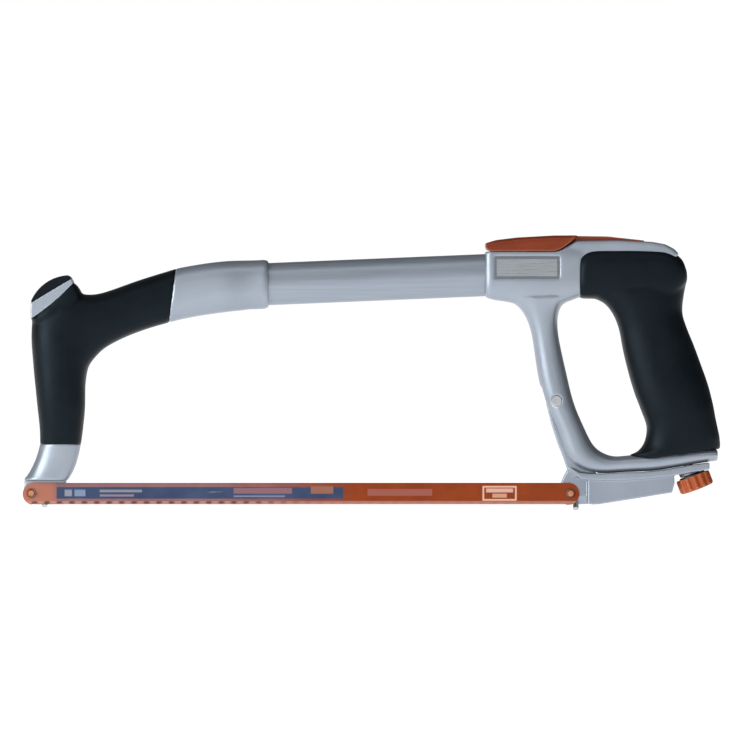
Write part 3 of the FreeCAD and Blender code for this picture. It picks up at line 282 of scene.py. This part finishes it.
class Shader:
    """A Principled material and short calls that add its nodes."""

    def __init__(self, name):
        self.material = bpy.data.materials.new(name)
        self.material.use_nodes = True
        self.tree = self.material.node_tree
        self.bsdf = self.tree.nodes["Principled BSDF"]
        coordinates = self.tree.nodes.new("ShaderNodeTexCoord")
        self.where = coordinates.outputs["Object"]

    def put(self, socket, value):
        self.bsdf.inputs[socket].default_value = value

    def link(self, output, socket):
        self.tree.links.new(output, self.bsdf.inputs[socket])

    def stretch(self, scale):
        """Object coordinates, scaled along each axis."""
        node = self.tree.nodes.new("ShaderNodeMapping")
        node.inputs["Scale"].default_value = scale
        self.tree.links.new(self.where, node.inputs["Vector"])
        return node.outputs["Vector"]

    def noise(self, scale, detail=4.0, vector=None, rough=0.5):
        node = self.tree.nodes.new("ShaderNodeTexNoise")
        node.inputs["Scale"].default_value = scale
        node.inputs["Detail"].default_value = detail
        node.inputs["Roughness"].default_value = rough
        self.tree.links.new(vector or self.where, node.inputs["Vector"])
        return node.outputs["Fac"]

    def spread(self, value, low, high, to_low=0.0, to_high=1.0):
        """The value, clamped and mapped from one range to another."""
        node = self.tree.nodes.new("ShaderNodeMapRange")
        node.inputs["From Min"].default_value = low
        node.inputs["From Max"].default_value = high
        node.inputs["To Min"].default_value = to_low
        node.inputs["To Max"].default_value = to_high
        self.tree.links.new(value, node.inputs["Value"])
        return node.outputs["Result"]

    def math(self, kind, a, b=None):
        """Arithmetic on node outputs or plain numbers."""
        node = self.tree.nodes.new("ShaderNodeMath")
        node.operation = kind
        for socket, value in zip(node.inputs, (a, b)):
            if value is None:
                continue
            if isinstance(value, (int, float)):
                socket.default_value = value
            else:
                self.tree.links.new(value, socket)
        return node.outputs[0]

    def mix(self, factor, a, b):
        """Colour a where the factor is 0, and b where it is 1."""
        node = self.tree.nodes.new("ShaderNodeMix")
        node.data_type = "RGBA"
        for socket, value in (("Factor", factor), ("A", a), ("B", b)):
            pin = [s for s in node.inputs if s.name == socket and s.enabled][0]
            if isinstance(value, (tuple, float, int)):
                pin.default_value = value
            else:
                self.tree.links.new(value, pin)
        return [s for s in node.outputs if s.enabled][0]

    def split(self):
        node = self.tree.nodes.new("ShaderNodeSeparateXYZ")
        self.tree.links.new(self.where, node.inputs[0])
        return node.outputs["X"], node.outputs["Y"], node.outputs["Z"]

    def bump(self, height, strength, distance):
        node = self.tree.nodes.new("ShaderNodeBump")
        node.inputs["Strength"].default_value = strength
        node.inputs["Distance"].default_value = distance
        self.tree.links.new(height, node.inputs["Height"])
        self.tree.links.new(node.outputs["Normal"], self.bsdf.inputs["Normal"])

    def edge_wear(self):
        """Bright where the mesh's edges stick out."""
        node = self.tree.nodes.new("ShaderNodeNewGeometry")
        return self.spread(node.outputs["Pointiness"], 0.505, 0.56)


def colour(r, g, b):
    return (r, g, b, 1.0)


def cast_metal():
    """Satin die-cast alloy: fine grain, faint cloudiness, polished edges."""
    shader = Shader("cast_alloy_look")
    cloud = shader.noise(28.0, 5.0)
    grain = shader.noise(1900.0, 2.0)
    base = shader.mix(
        shader.spread(cloud, 0.35, 0.65),
        colour(0.313, 0.357, 0.418),
        colour(0.359, 0.403, 0.464),
    )
    base = shader.mix(
        shader.math("MULTIPLY", shader.edge_wear(), 0.3), base, colour(0.62, 0.65, 0.69)
    )
    shader.link(base, "Base Color")
    shader.put("Metallic", 0.65)
    rough = shader.spread(cloud, 0.3, 0.7, 0.34, 0.41)
    shader.link(shader.math("ADD", rough, shader.spread(grain, 0.3, 0.7, -0.03, 0.03)),
                "Roughness")
    shader.bump(shader.math("ADD", grain, shader.math("MULTIPLY", cloud, 0.6)),
                0.12, 0.00012)
    return shader.material


def tube_metal():
    """Drawn and satin-finished tube: fine lines along its length."""
    shader = Shader("tube_alloy_look")
    lines = shader.noise(900.0, 3.0, shader.stretch((0.02, 1.0, 1.0)))
    cloud = shader.noise(20.0, 3.0)
    base = shader.mix(
        shader.spread(lines, 0.3, 0.7), colour(0.298, 0.34, 0.40), colour(0.343, 0.386, 0.446)
    )
    shader.link(base, "Base Color")
    shader.put("Metallic", 0.65)
    shader.link(shader.math("ADD", shader.spread(cloud, 0.3, 0.7, 0.34, 0.40),
                            shader.spread(lines, 0.3, 0.7, -0.03, 0.03)), "Roughness")
    shader.bump(lines, 0.08, 0.0001)
    return shader.material


def plate_metal():
    """Blank plate with a darker border and faint lines along it."""
    shader = Shader("plate_look")
    border = 1.4 * MM
    fade = 0.3 * MM
    low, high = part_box("label_plate")
    x, _, z = shader.split()
    half_x = (high[0] - low[0]) / 2
    half_z = (high[2] - low[2]) / 2
    across = shader.math("ABSOLUTE", shader.math("SUBTRACT", x, (high[0] + low[0]) / 2))
    upright = shader.math("ABSOLUTE", shader.math("SUBTRACT", z, (high[2] + low[2]) / 2))
    edge = shader.math(
        "MAXIMUM",
        shader.spread(across, half_x - border, half_x - border + fade),
        shader.spread(upright, half_z - border, half_z - border + fade),
    )
    lines = shader.noise(1500.0, 2.0, shader.stretch((0.05, 1.0, 1.0)))
    base = shader.mix(
        shader.spread(lines, 0.3, 0.7), colour(0.32, 0.345, 0.375), colour(0.40, 0.425, 0.45)
    )
    base = shader.mix(edge, base, colour(0.20, 0.215, 0.24))
    shader.link(base, "Base Color")
    shader.put("Metallic", 0.8)
    shader.link(shader.spread(lines, 0.3, 0.7, 0.26, 0.36), "Roughness")
    shader.bump(shader.math("SUBTRACT", lines, edge), 0.25, 0.0001)
    return shader.material


def steel(name, dark, light):
    """Turned steel: fine grain and smudges between two colours."""
    shader = Shader(name)
    grain = shader.noise(2500.0, 2.0)
    smudge = shader.noise(140.0, 3.0)
    base = shader.mix(shader.spread(smudge, 0.35, 0.65), dark, light)
    shader.link(base, "Base Color")
    shader.put("Metallic", 0.95)
    shader.link(shader.spread(grain, 0.3, 0.7, 0.24, 0.36), "Roughness")
    shader.bump(grain, 0.1, 0.00008)
    return shader.material


def rubber():
    """Moulded rubber: near black, fine grain, with duller and greyer patches."""
    shader = Shader("rubber_look")
    scuff = shader.noise(60.0, 6.0, rough=0.65)
    grain = shader.noise(2600.0, 2.0)
    base = shader.mix(
        shader.spread(scuff, 0.4, 0.75), colour(0.0022, 0.0034, 0.0048),
        colour(0.0042, 0.0064, 0.0088)
    )
    shader.link(base, "Base Color")
    shader.put("Specular IOR Level", 0.2)
    shader.put("Specular Tint", colour(0.62, 0.84, 1.0))
    shader.link(shader.math("ADD", shader.spread(scuff, 0.3, 0.7, 0.36, 0.46),
                            shader.spread(grain, 0.3, 0.7, -0.04, 0.04)), "Roughness")
    shader.bump(grain, 0.35, 0.00015)
    return shader.material


def plastic(name, dark, light, low, high):
    """Moulded plastic with a faint spark texture and slight mottling."""
    shader = Shader(name)
    cloud = shader.noise(45.0, 4.0)
    grain = shader.noise(1800.0, 2.0)
    base = shader.mix(shader.spread(cloud, 0.35, 0.65), dark, light)
    base = shader.mix(
        shader.math("MULTIPLY", shader.edge_wear(), 0.25), base, colour(0.9, 0.45, 0.25)
    )
    shader.link(base, "Base Color")
    shader.link(shader.spread(cloud, 0.3, 0.7, low, high), "Roughness")
    shader.put("Specular IOR Level", 0.4)
    shader.bump(grain, 0.12, 0.0001)
    return shader.material


# Plain bars on the blade: left, right, lower and upper edge in millimetres
# from the front pin, and colour.
BLADE_BARS = (
    (18.5, 22.5, -1.6, 2.0, colour(0.26, 0.27, 0.33)),
    (24.0, 30.0, -1.6, 2.0, colour(0.20, 0.27, 0.38)),
    (38.0, 61.5, 0.6, 2.0, colour(0.24, 0.25, 0.29)),
    (38.0, 57.0, -1.8, -0.6, colour(0.24, 0.20, 0.27)),
    (112.5, 145.0, -0.2, 3.0, colour(0.25, 0.12, 0.14)),
    (112.5, 141.0, -2.1, -1.2, colour(0.20, 0.22, 0.30)),
    (155.5, 168.0, -0.2, 3.9, colour(0.30, 0.12, 0.08)),
    (187.0, 223.0, -1.4, 2.4, colour(0.32, 0.095, 0.065)),
)


def blade_paint():
    """Orange lacquer with a plain blue band, plain bars, worn tooth tips, painted shade on the
    teeth set away from the front and a painted shade ring round each hole.
    """
    shader = Shader("blade_look")
    print_edge = 0.2 * MM
    x, _, z = shader.split()
    along = shader.math("SUBTRACT", x, FRONT.x)
    up = shader.math("SUBTRACT", z, FRONT.z)

    def between(value, low, high, soft):
        rise = shader.spread(value, low - soft, low + soft)
        fall = shader.spread(value, high - soft, high + soft, 1.0, 0.0)
        return shader.math("MULTIPLY", rise, fall)

    def patch(left, right, under, over, soft=print_edge):
        return shader.math(
            "MULTIPLY",
            between(along, left * MM, right * MM, soft),
            between(up, under * MM, over * MM, soft),
        )

    def around(centre_x, radius, soft):
        flat = shader.math("SUBTRACT", along, centre_x)
        square = shader.math("ADD", shader.math("MULTIPLY", flat, flat),
                             shader.math("MULTIPLY", up, up))
        return shader.spread(shader.math("SQRT", square), radius - soft, radius + soft,
                             1.0, 0.0)

    cloud = shader.noise(70.0, 5.0)
    orange = shader.mix(
        shader.spread(cloud, 0.35, 0.65), colour(0.22, 0.030, 0.001), colour(0.275, 0.041, 0.002)
    )
    faded = shader.mix(
        shader.spread(cloud, 0.35, 0.65), colour(0.235, 0.107, 0.110), colour(0.30, 0.138, 0.144)
    )
    base = shader.mix(shader.spread(along, 100.0 * MM, 180.0 * MM), faded, orange)
    base = shader.mix(patch(-6.0, 13.0, -8.0, 7.0, 2.0 * MM), base, colour(0.42, 0.155, 0.10))
    blue = shader.mix(
        shader.spread(cloud, 0.35, 0.65), colour(0.028, 0.048, 0.112), colour(0.046, 0.074, 0.146)
    )
    base = shader.mix(patch(14.0, 173.5, -3.0, 3.5), base, blue)
    for left, right, under, over, tone in BLADE_BARS:
        base = shader.mix(patch(left, right, under, over), base, tone)
    frame_box = shader.math(
        "SUBTRACT", patch(251.0, 270.0, -4.1, 4.1), patch(251.9, 269.1, -3.2, 3.2)
    )
    base = shader.mix(frame_box, base, colour(0.80, 0.46, 0.34))
    base = shader.mix(patch(253.0, 268.0, 0.5, 2.7), base, colour(0.70, 0.40, 0.30))
    base = shader.mix(patch(256.5, 264.5, -2.4, -0.2), base, colour(0.60, 0.31, 0.21))
    tips = shader.spread(up, -4.7 * MM, -4.0 * MM, 1.0, 0.0)
    # Painted shade: the tips of teeth set towards +Y, away from the front, are darkened along the
    # wave of the set, fading out towards the rear.
    wave = shader.math("SINE", shader.math("MULTIPLY", along, 2 * math.pi / (WAVE * MM)))
    painted_set_shade = shader.math("MULTIPLY", shader.spread(wave, -0.35, 0.75),
                        shader.spread(along, 115.0 * MM, 165.0 * MM, 1.0, 0.12))
    base = shader.mix(shader.math("MULTIPLY", tips, 0.55), base, colour(0.58, 0.32, 0.25))
    base = shader.mix(shader.math("MULTIPLY", shader.math("MULTIPLY", tips, painted_set_shade), 0.9),
                      base, colour(0.11, 0.030, 0.020))
    # Painted shade: a dark ring is drawn round each hole and its pin.
    for hole_x in (0.0, REAR.x - FRONT.x):
        painted_hole_shade = shader.math("MULTIPLY", around(hole_x, 2.9 * MM, 0.4 * MM), 0.7)
        base = shader.mix(painted_hole_shade, base, colour(0.12, 0.035, 0.018))
    scratch = shader.noise(420.0, 4.0, shader.stretch((0.12, 1.0, 1.0)))
    worn = shader.spread(scratch, 0.70, 0.78)
    base = shader.mix(shader.math("MULTIPLY", worn, 0.3), base, colour(0.50, 0.38, 0.33))
    shader.link(base, "Base Color")
    shader.put("Specular IOR Level", 0.24)
    shader.link(shader.spread(cloud, 0.3, 0.7, 0.32, 0.44), "Roughness")
    shader.bump(scratch, 0.1, 0.00008)
    return shader.material


def floor_paint():
    """Plain matt white that glows a little, so that the floor stays pale."""
    shader = Shader("floor_look")
    cloud = shader.noise(3.0, 2.0)
    shader.link(
        shader.mix(shader.spread(cloud, 0.3, 0.7), colour(0.90, 0.90, 0.90),
                   colour(0.93, 0.93, 0.93)),
        "Base Color",
    )
    shader.put("Roughness", 0.9)
    shader.put("Specular IOR Level", 0.1)
    shader.put("Emission Color", colour(1.0, 1.0, 1.0))
    shader.put("Emission Strength", 0.86)
    return shader.material


CAST = cast_metal()
TUBE = tube_metal()
PLATE = plate_metal()
STEEL = steel("steel_look", colour(0.42, 0.43, 0.45), colour(0.56, 0.57, 0.58))
BLACK_STEEL = steel("black_steel_look", colour(0.05, 0.052, 0.055), colour(0.09, 0.092, 0.095))
# Painted reflection: the blade pins are steel tinted orange, standing for the orange blade
# reflected in their domes.
PIN_ORANGE_REFLECTION_STEEL = steel("pin_orange_reflection_look", colour(0.62, 0.22, 0.10), colour(0.75, 0.32, 0.18))
RUBBER = rubber()
LID = plastic("lid_look", colour(0.183, 0.023, 0.002), colour(0.229, 0.030, 0.003), 0.24, 0.32)
KNOB = plastic("knob_look", colour(0.35, 0.063, 0.013), colour(0.42, 0.082, 0.018), 0.24, 0.34)
BLADE = blade_paint()
FLOOR = floor_paint()

NODE_LOOKS = {
    "front_casting": CAST,
    "handle_casting": CAST,
    "tension_lever": CAST,
    "frame_tube": TUBE,
    "label_plate": PLATE,
    "storage_lid": LID,
    "tension_knob": KNOB,
    "thrust_washer": BLACK_STEEL,
    "front_blade_pin": PIN_ORANGE_REFLECTION_STEEL,
    "rear_blade_pin": PIN_ORANGE_REFLECTION_STEEL,
}


def dress(node, material):
    """Give a CAD node its material."""
    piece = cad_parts[node]
    piece.data.materials.clear()
    piece.data.materials.append(material)


for node_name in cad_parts:
    dress(node_name, NODE_LOOKS.get(node_name, STEEL))


# ------------------------------------------------------------------ castings

def soften_node(node, voxel, rounds):
    """Give a cast or moulded node its rounded edges and blended joins."""
    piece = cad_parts[node]
    weld = piece.modifiers.new("weld", "WELD")
    weld.merge_threshold = WELD_NEAR * MM
    melt(piece, voxel, rounds)


# Node: voxel in millimetres, rounds of smoothing.
SOFTENED = {
    "front_casting": (0.6, 5),
    "handle_casting": (0.55, 9),
    "tension_lever": (0.4, 3),
    "storage_lid": (0.35, 3),
    "tension_knob": (0.3, 3),
}

for node_name, (voxel, rounds) in SOFTENED.items():
    soften_node(node_name, voxel, rounds)


# ------------------------------------------------------------------ rubber

def finish_piece(piece, name, node):
    """Name a rubber piece and let it stand for its CAD node."""
    piece.name = name
    shade_smooth(piece.data)
    piece.data.materials.clear()
    piece.data.materials.append(RUBBER)
    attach(piece, "frame")
    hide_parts(node)


# Stations are an outer point, an inner point and a width, in millimetres.  The
# points are measured from the front pin for the front rubber, and from the rear
# pin for the rear rubber.

def make_front_sleeve():
    """Rubber sleeve over the front leg, bow and horn, cut off at the pad's seat."""
    stations = [
        ((4.8, 27.1), (27.6, 27.1), 20.2),
        ((4.6, 36.0), (28.8, 36.0), 23.5),
        ((3.2, 49.0), (29.9, 48.0), 26.5),
        ((2.0, UP - 55.4), (30.1, UP - 56.4), 28.0),
        ((0.9, UP - 43.4), (31.3, UP - 47.9), 28.0),
        ((0.0, UP - 28.4), (33.2, UP - 43.7), 28.0),
        ((1.8, UP - 16.2), (36.2, UP - 40.0), 27.0),
        ((10.5, UP - 5.6), (40.4, UP - 36.0), 26.0),
        ((26.5, UP - 5.6), (46.4, UP - 32.4), 25.0),
        ((38.5, UP - 5.1), (55.0, UP - 28.4), 24.0),
        ((60.5, UP + 2.4), (65.5, UP - 24.6), 22.5),
        ((80.5, UP + 8.6), (76.5, UP - 21.4), 21.5),
    ]
    body = loft(stations, 2.5, front_point)
    horn = [
        ((2.0, UP - 24.0), (17.0, UP - 30.0), 20.0),
        ((-0.2, UP - 17.0), (24.0, UP - 22.0), 24.0),
        ((6.0, UP - 9.0), (29.0, UP - 14.0), 24.0),
        ((14.0, UP - 2.0), (28.0, UP - 5.0), 24.0),
        ((20.0, UP + 3.0), (25.4, UP - 0.6), 23.0),
    ]
    lump = loft(horn, 3.0, front_point)
    piece = new_object("front_grip_skin", join([body, lump]))
    melt(piece, 0.8, 8)
    applied(piece)
    edge = arc((-0.1, UP - 19.6), (10.8, UP - 11.8), (23.6, UP + 0.4))
    outline = [front_point(-6.0, UP - 25.0)]
    outline += [front_point(x, z) for x, z in edge]
    outline += [front_point(25.0, UP + 8.0), front_point(-6.0, UP + 8.0)]
    cut(piece, prism(outline, 30.0))
    finish_piece(piece, "front_grip_skin", "front_grip")


def make_thumb_pad():
    """Rounded pad between two arcs on top of the horn."""
    lower = arc((0.15, UP - 10.3), (12.2, UP - 3.0), (22.7, UP + 3.15))
    upper = arc((20.8, UP + 4.85), (8.3, UP + 0.55), (0.15, UP - 9.65))
    outline = [front_point(x, z) for x, z in lower + upper]
    piece = new_object("thumb_pad_skin", prism(outline, PAD_HALF))
    melt(piece, 0.35, 6)
    applied(piece)
    finish_piece(piece, "thumb_pad_skin", "thumb_pad")


def make_rear_grip():
    """Rubber over the rear leg of the D and the end of its top bar."""
    lower = [
        ((38.2, 18.4), (83.3, 24.8), 24.0),
        ((32.4, 21.0), (83.4, 26.6), 25.5),
        ((37.2, 23.4), (83.2, 28.4), 26.4),
        ((41.0, 28.6), (82.8, 32.2), 27.5),
        ((42.2, 37.0), (80.9, 41.0), 29.5),
        ((39.0, 46.5), (79.2, 50.0), 31.0),
        ((35.2, UP - 59.9), (76.4, UP - 55.6), 31.0),
        ((31.6, UP - 47.4), (72.8, UP - 45.4), 30.0),
        ((29.0, UP - 36.4), (68.6, UP - 34.0), 29.0),
        ((26.8, UP - 25.0), (64.4, UP - 23.6), 28.0),
        ((23.4, UP - 16.6), (62.2, UP - 15.6), 28.0),
        ((18.4, UP - 10.6), (63.0, UP - 6.4), 28.0),
        ((10.5, UP - 7.0), (64.6, UP + 1.6), 27.5),
    ]
    crown = [
        ((4.7, UP + 15.4), (4.7, UP - 7.6), 25.0),
        ((6.4, UP + 18.2), (6.6, UP - 8.0), 27.0),
        ((12.0, UP + 20.6), (12.0, UP - 8.2), 28.0),
        ((24.0, UP + 21.0), (26.0, UP - 8.2), 28.0),
        ((42.0, UP + 21.0), (42.0, UP - 10.0), 28.0),
        ((54.0, UP + 19.4), (55.0, UP - 8.0), 28.0),
        ((61.6, UP + 14.0), (62.4, UP - 2.0), 25.0),
        ((64.4, UP + 7.6), (64.7, UP + 1.4), 19.0),
    ]
    parts = [loft(lower, 2.5, rear_point), loft(crown, 3.2, rear_point)]
    piece = new_object("rear_grip_skin", join(parts))
    melt(piece, 0.8, 12)
    applied(piece)
    finish_piece(piece, "rear_grip_skin", "rear_grip")


make_front_sleeve()
make_thumb_pad()
make_rear_grip()


# ------------------------------------------------------------------ blade

def add_spline(curve, points):
    """Add a closed outline to a flat curve."""
    spline = curve.splines.new("POLY")
    spline.points.add(len(points) - 1)
    for item, (x, z) in zip(spline.points, points):
        item.co = (x, z, 0.0, 1.0)
    spline.use_cyclic_u = True


def circle(x, z, radius, count=32):
    """Points round a circle."""
    return [
        (x + radius * math.cos(2 * math.pi * i / count),
         z + radius * math.sin(2 * math.pi * i / count))
        for i in range(count)
    ]


END_STEPS = 24      # steps of each round end
NEAR_FOOT = -0.98   # the teeth start where a round end gets this low


def make_blade():
    """Toothed strip with round ends, wavy-set teeth and its two holes."""
    low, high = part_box("blade")
    left, right = low[0], high[0]
    bottom, top = low[2], high[2]
    half = (top - bottom) / 2
    centre = (top + bottom) / 2
    thick = high[1] - low[1]
    turn = [math.pi * i / END_STEPS for i in range(END_STEPS + 1)]
    points = []
    for angle in turn:
        if math.cos(angle) > NEAR_FOOT:
            points.append((right - half + half * math.sin(angle),
                           centre + half * math.cos(angle)))
    x = right - half - PLAIN_END * MM
    while x > left + half + PLAIN_END * MM:
        points.append((x, bottom))
        points.append((x - TOOTH * TOOTH_BACK * MM, bottom + TOOTH_DEEP * MM))
        points.append((x - TOOTH * TOOTH_REST * MM,
                       bottom + TOOTH_DEEP * ROOT_RISE * MM))
        x -= TOOTH * MM
    for angle in turn:
        if -math.cos(angle) > NEAR_FOOT:
            points.append((left + half - half * math.sin(angle),
                           centre - half * math.cos(angle)))
    curve = bpy.data.curves.new("blade_outline", "CURVE")
    curve.dimensions = "2D"
    curve.fill_mode = "BOTH"
    add_spline(curve, points)
    add_spline(curve, circle(left + BLADE_END * MM, FRONT.z, HOLE_R * MM))
    add_spline(curve, circle(right - BLADE_END * MM, REAR.z, HOLE_R * MM))
    curve.extrude = thick / 2
    source = bpy.data.objects.new("blade_curve", curve)
    bpy.context.scene.collection.objects.link(source)
    depsgraph = bpy.context.evaluated_depsgraph_get()
    mesh = bpy.data.meshes.new_from_object(source.evaluated_get(depsgraph))
    bpy.data.objects.remove(source)
    line = bottom + (TOOTH_DEEP + 0.1) * MM
    for vertex in mesh.vertices:
        x, z, y = vertex.co
        y += (low[1] + high[1]) / 2
        if z < line:
            y += WAVE_OUT * MM * math.sin(2 * math.pi * (x - FRONT.x) / (WAVE * MM))
        vertex.co = (x, y, z)
    fix_normals(mesh)
    piece = new_object("blade_strip", mesh)
    piece.data.materials.append(BLADE)
    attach(piece, "blade")
    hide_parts("blade")


make_blade()


# ------------------------------------------------------------------ studio

def make_floor():
    """Large flat floor just under the saw."""
    work = bmesh.new()
    bmesh.ops.create_grid(work, x_segments=8, y_segments=8, size=FLOOR_SIZE * MM)
    mesh = bpy.data.meshes.new("floor")
    work.to_mesh(mesh)
    work.free()
    floor = new_object("floor", mesh)
    floor.location.z = CAD_BOX[0][2] - FLOOR_GAP * MM
    floor.data.materials.append(FLOOR)


def area_light(name, where, target, size, power, tint=(1.0, 1.0, 1.0)):
    """Soft box at a place, turned towards its target."""
    data = bpy.data.lights.new(name, "AREA")
    data.shape = "RECTANGLE"
    data.size, data.size_y = size
    data.energy = power
    data.color = tint
    lamp = bpy.data.objects.new(name, data)
    bpy.context.scene.collection.objects.link(lamp)
    lamp.location = where
    aim = Vector(target) - Vector(where)
    lamp.rotation_euler = aim.to_track_quat("-Z", "Y").to_euler()


def make_light():
    """White straight behind the saw, soft grey elsewhere, and two soft boxes."""
    world = bpy.data.worlds.new("studio")
    bpy.context.scene.world = world
    world.use_nodes = True
    tree = world.node_tree
    back = tree.nodes["Background"]
    where = tree.nodes.new("ShaderNodeTexCoord")
    split = tree.nodes.new("ShaderNodeSeparateXYZ")
    tree.links.new(where.outputs["Generated"], split.inputs[0])

    def ramp(source, near, far, start, end):
        node = tree.nodes.new("ShaderNodeMapRange")
        node.inputs["From Min"].default_value = near
        node.inputs["From Max"].default_value = far
        node.inputs["To Min"].default_value = start
        node.inputs["To Max"].default_value = end
        node.interpolation_type = "SMOOTHSTEP"
        tree.links.new(split.outputs[source], node.inputs["Value"])
        return node.outputs["Result"]

    def combine(kind, a, b):
        node = tree.nodes.new("ShaderNodeMath")
        node.operation = kind
        tree.links.new(a, node.inputs[0])
        tree.links.new(b, node.inputs[1])
        return node.outputs[0]

    toward_front = ramp("Y", near=-0.9, far=0.1, start=0.62, end=0.32)
    toward_left = ramp("X", near=-0.7, far=0.7, start=1.2, end=0.3)
    toward_top = ramp("Z", near=0.1, far=0.8, start=1.0, end=0.6)
    room = combine("MULTIPLY", combine("MULTIPLY", toward_front, toward_left), toward_top)
    backdrop = ramp("Y", near=0.95, far=0.99, start=0.0, end=1.0)
    tree.links.new(combine("MAXIMUM", room, backdrop), back.inputs["Color"])
    back.inputs["Strength"].default_value = 1.02
    target = (-0.16, 0.0, 0.0)
    area_light("left_box", where=(-1.6, -1.4, 0.05), target=target,
               size=(1.5, 1.4), power=36.0, tint=(0.95, 0.98, 1.0))
    area_light("top_box", where=(-0.2, -1.3, 1.6), target=target,
               size=(1.6, 0.6), power=3.0)


def make_camera():
    """Level side view from far off, with no shift and no depth of field."""
    data = bpy.data.cameras.new("camera")
    data.lens = 360.0
    data.sensor_width = 36.0
    wide = PICTURE_WIDE * MM
    camera = bpy.data.objects.new("camera", data)
    bpy.context.scene.collection.objects.link(camera)
    aim = front_point(*PICTURE_MIDDLE)
    camera.location = (aim.x, -wide * data.lens / data.sensor_width, aim.z)
    camera.rotation_euler = (math.pi / 2, 0.0, 0.0)
    data.clip_start = 0.05
    data.clip_end = 100.0
    bpy.context.scene.camera = camera


make_floor()
make_light()
make_camera()
bpy.context.scene.view_settings.view_transform = "Standard"
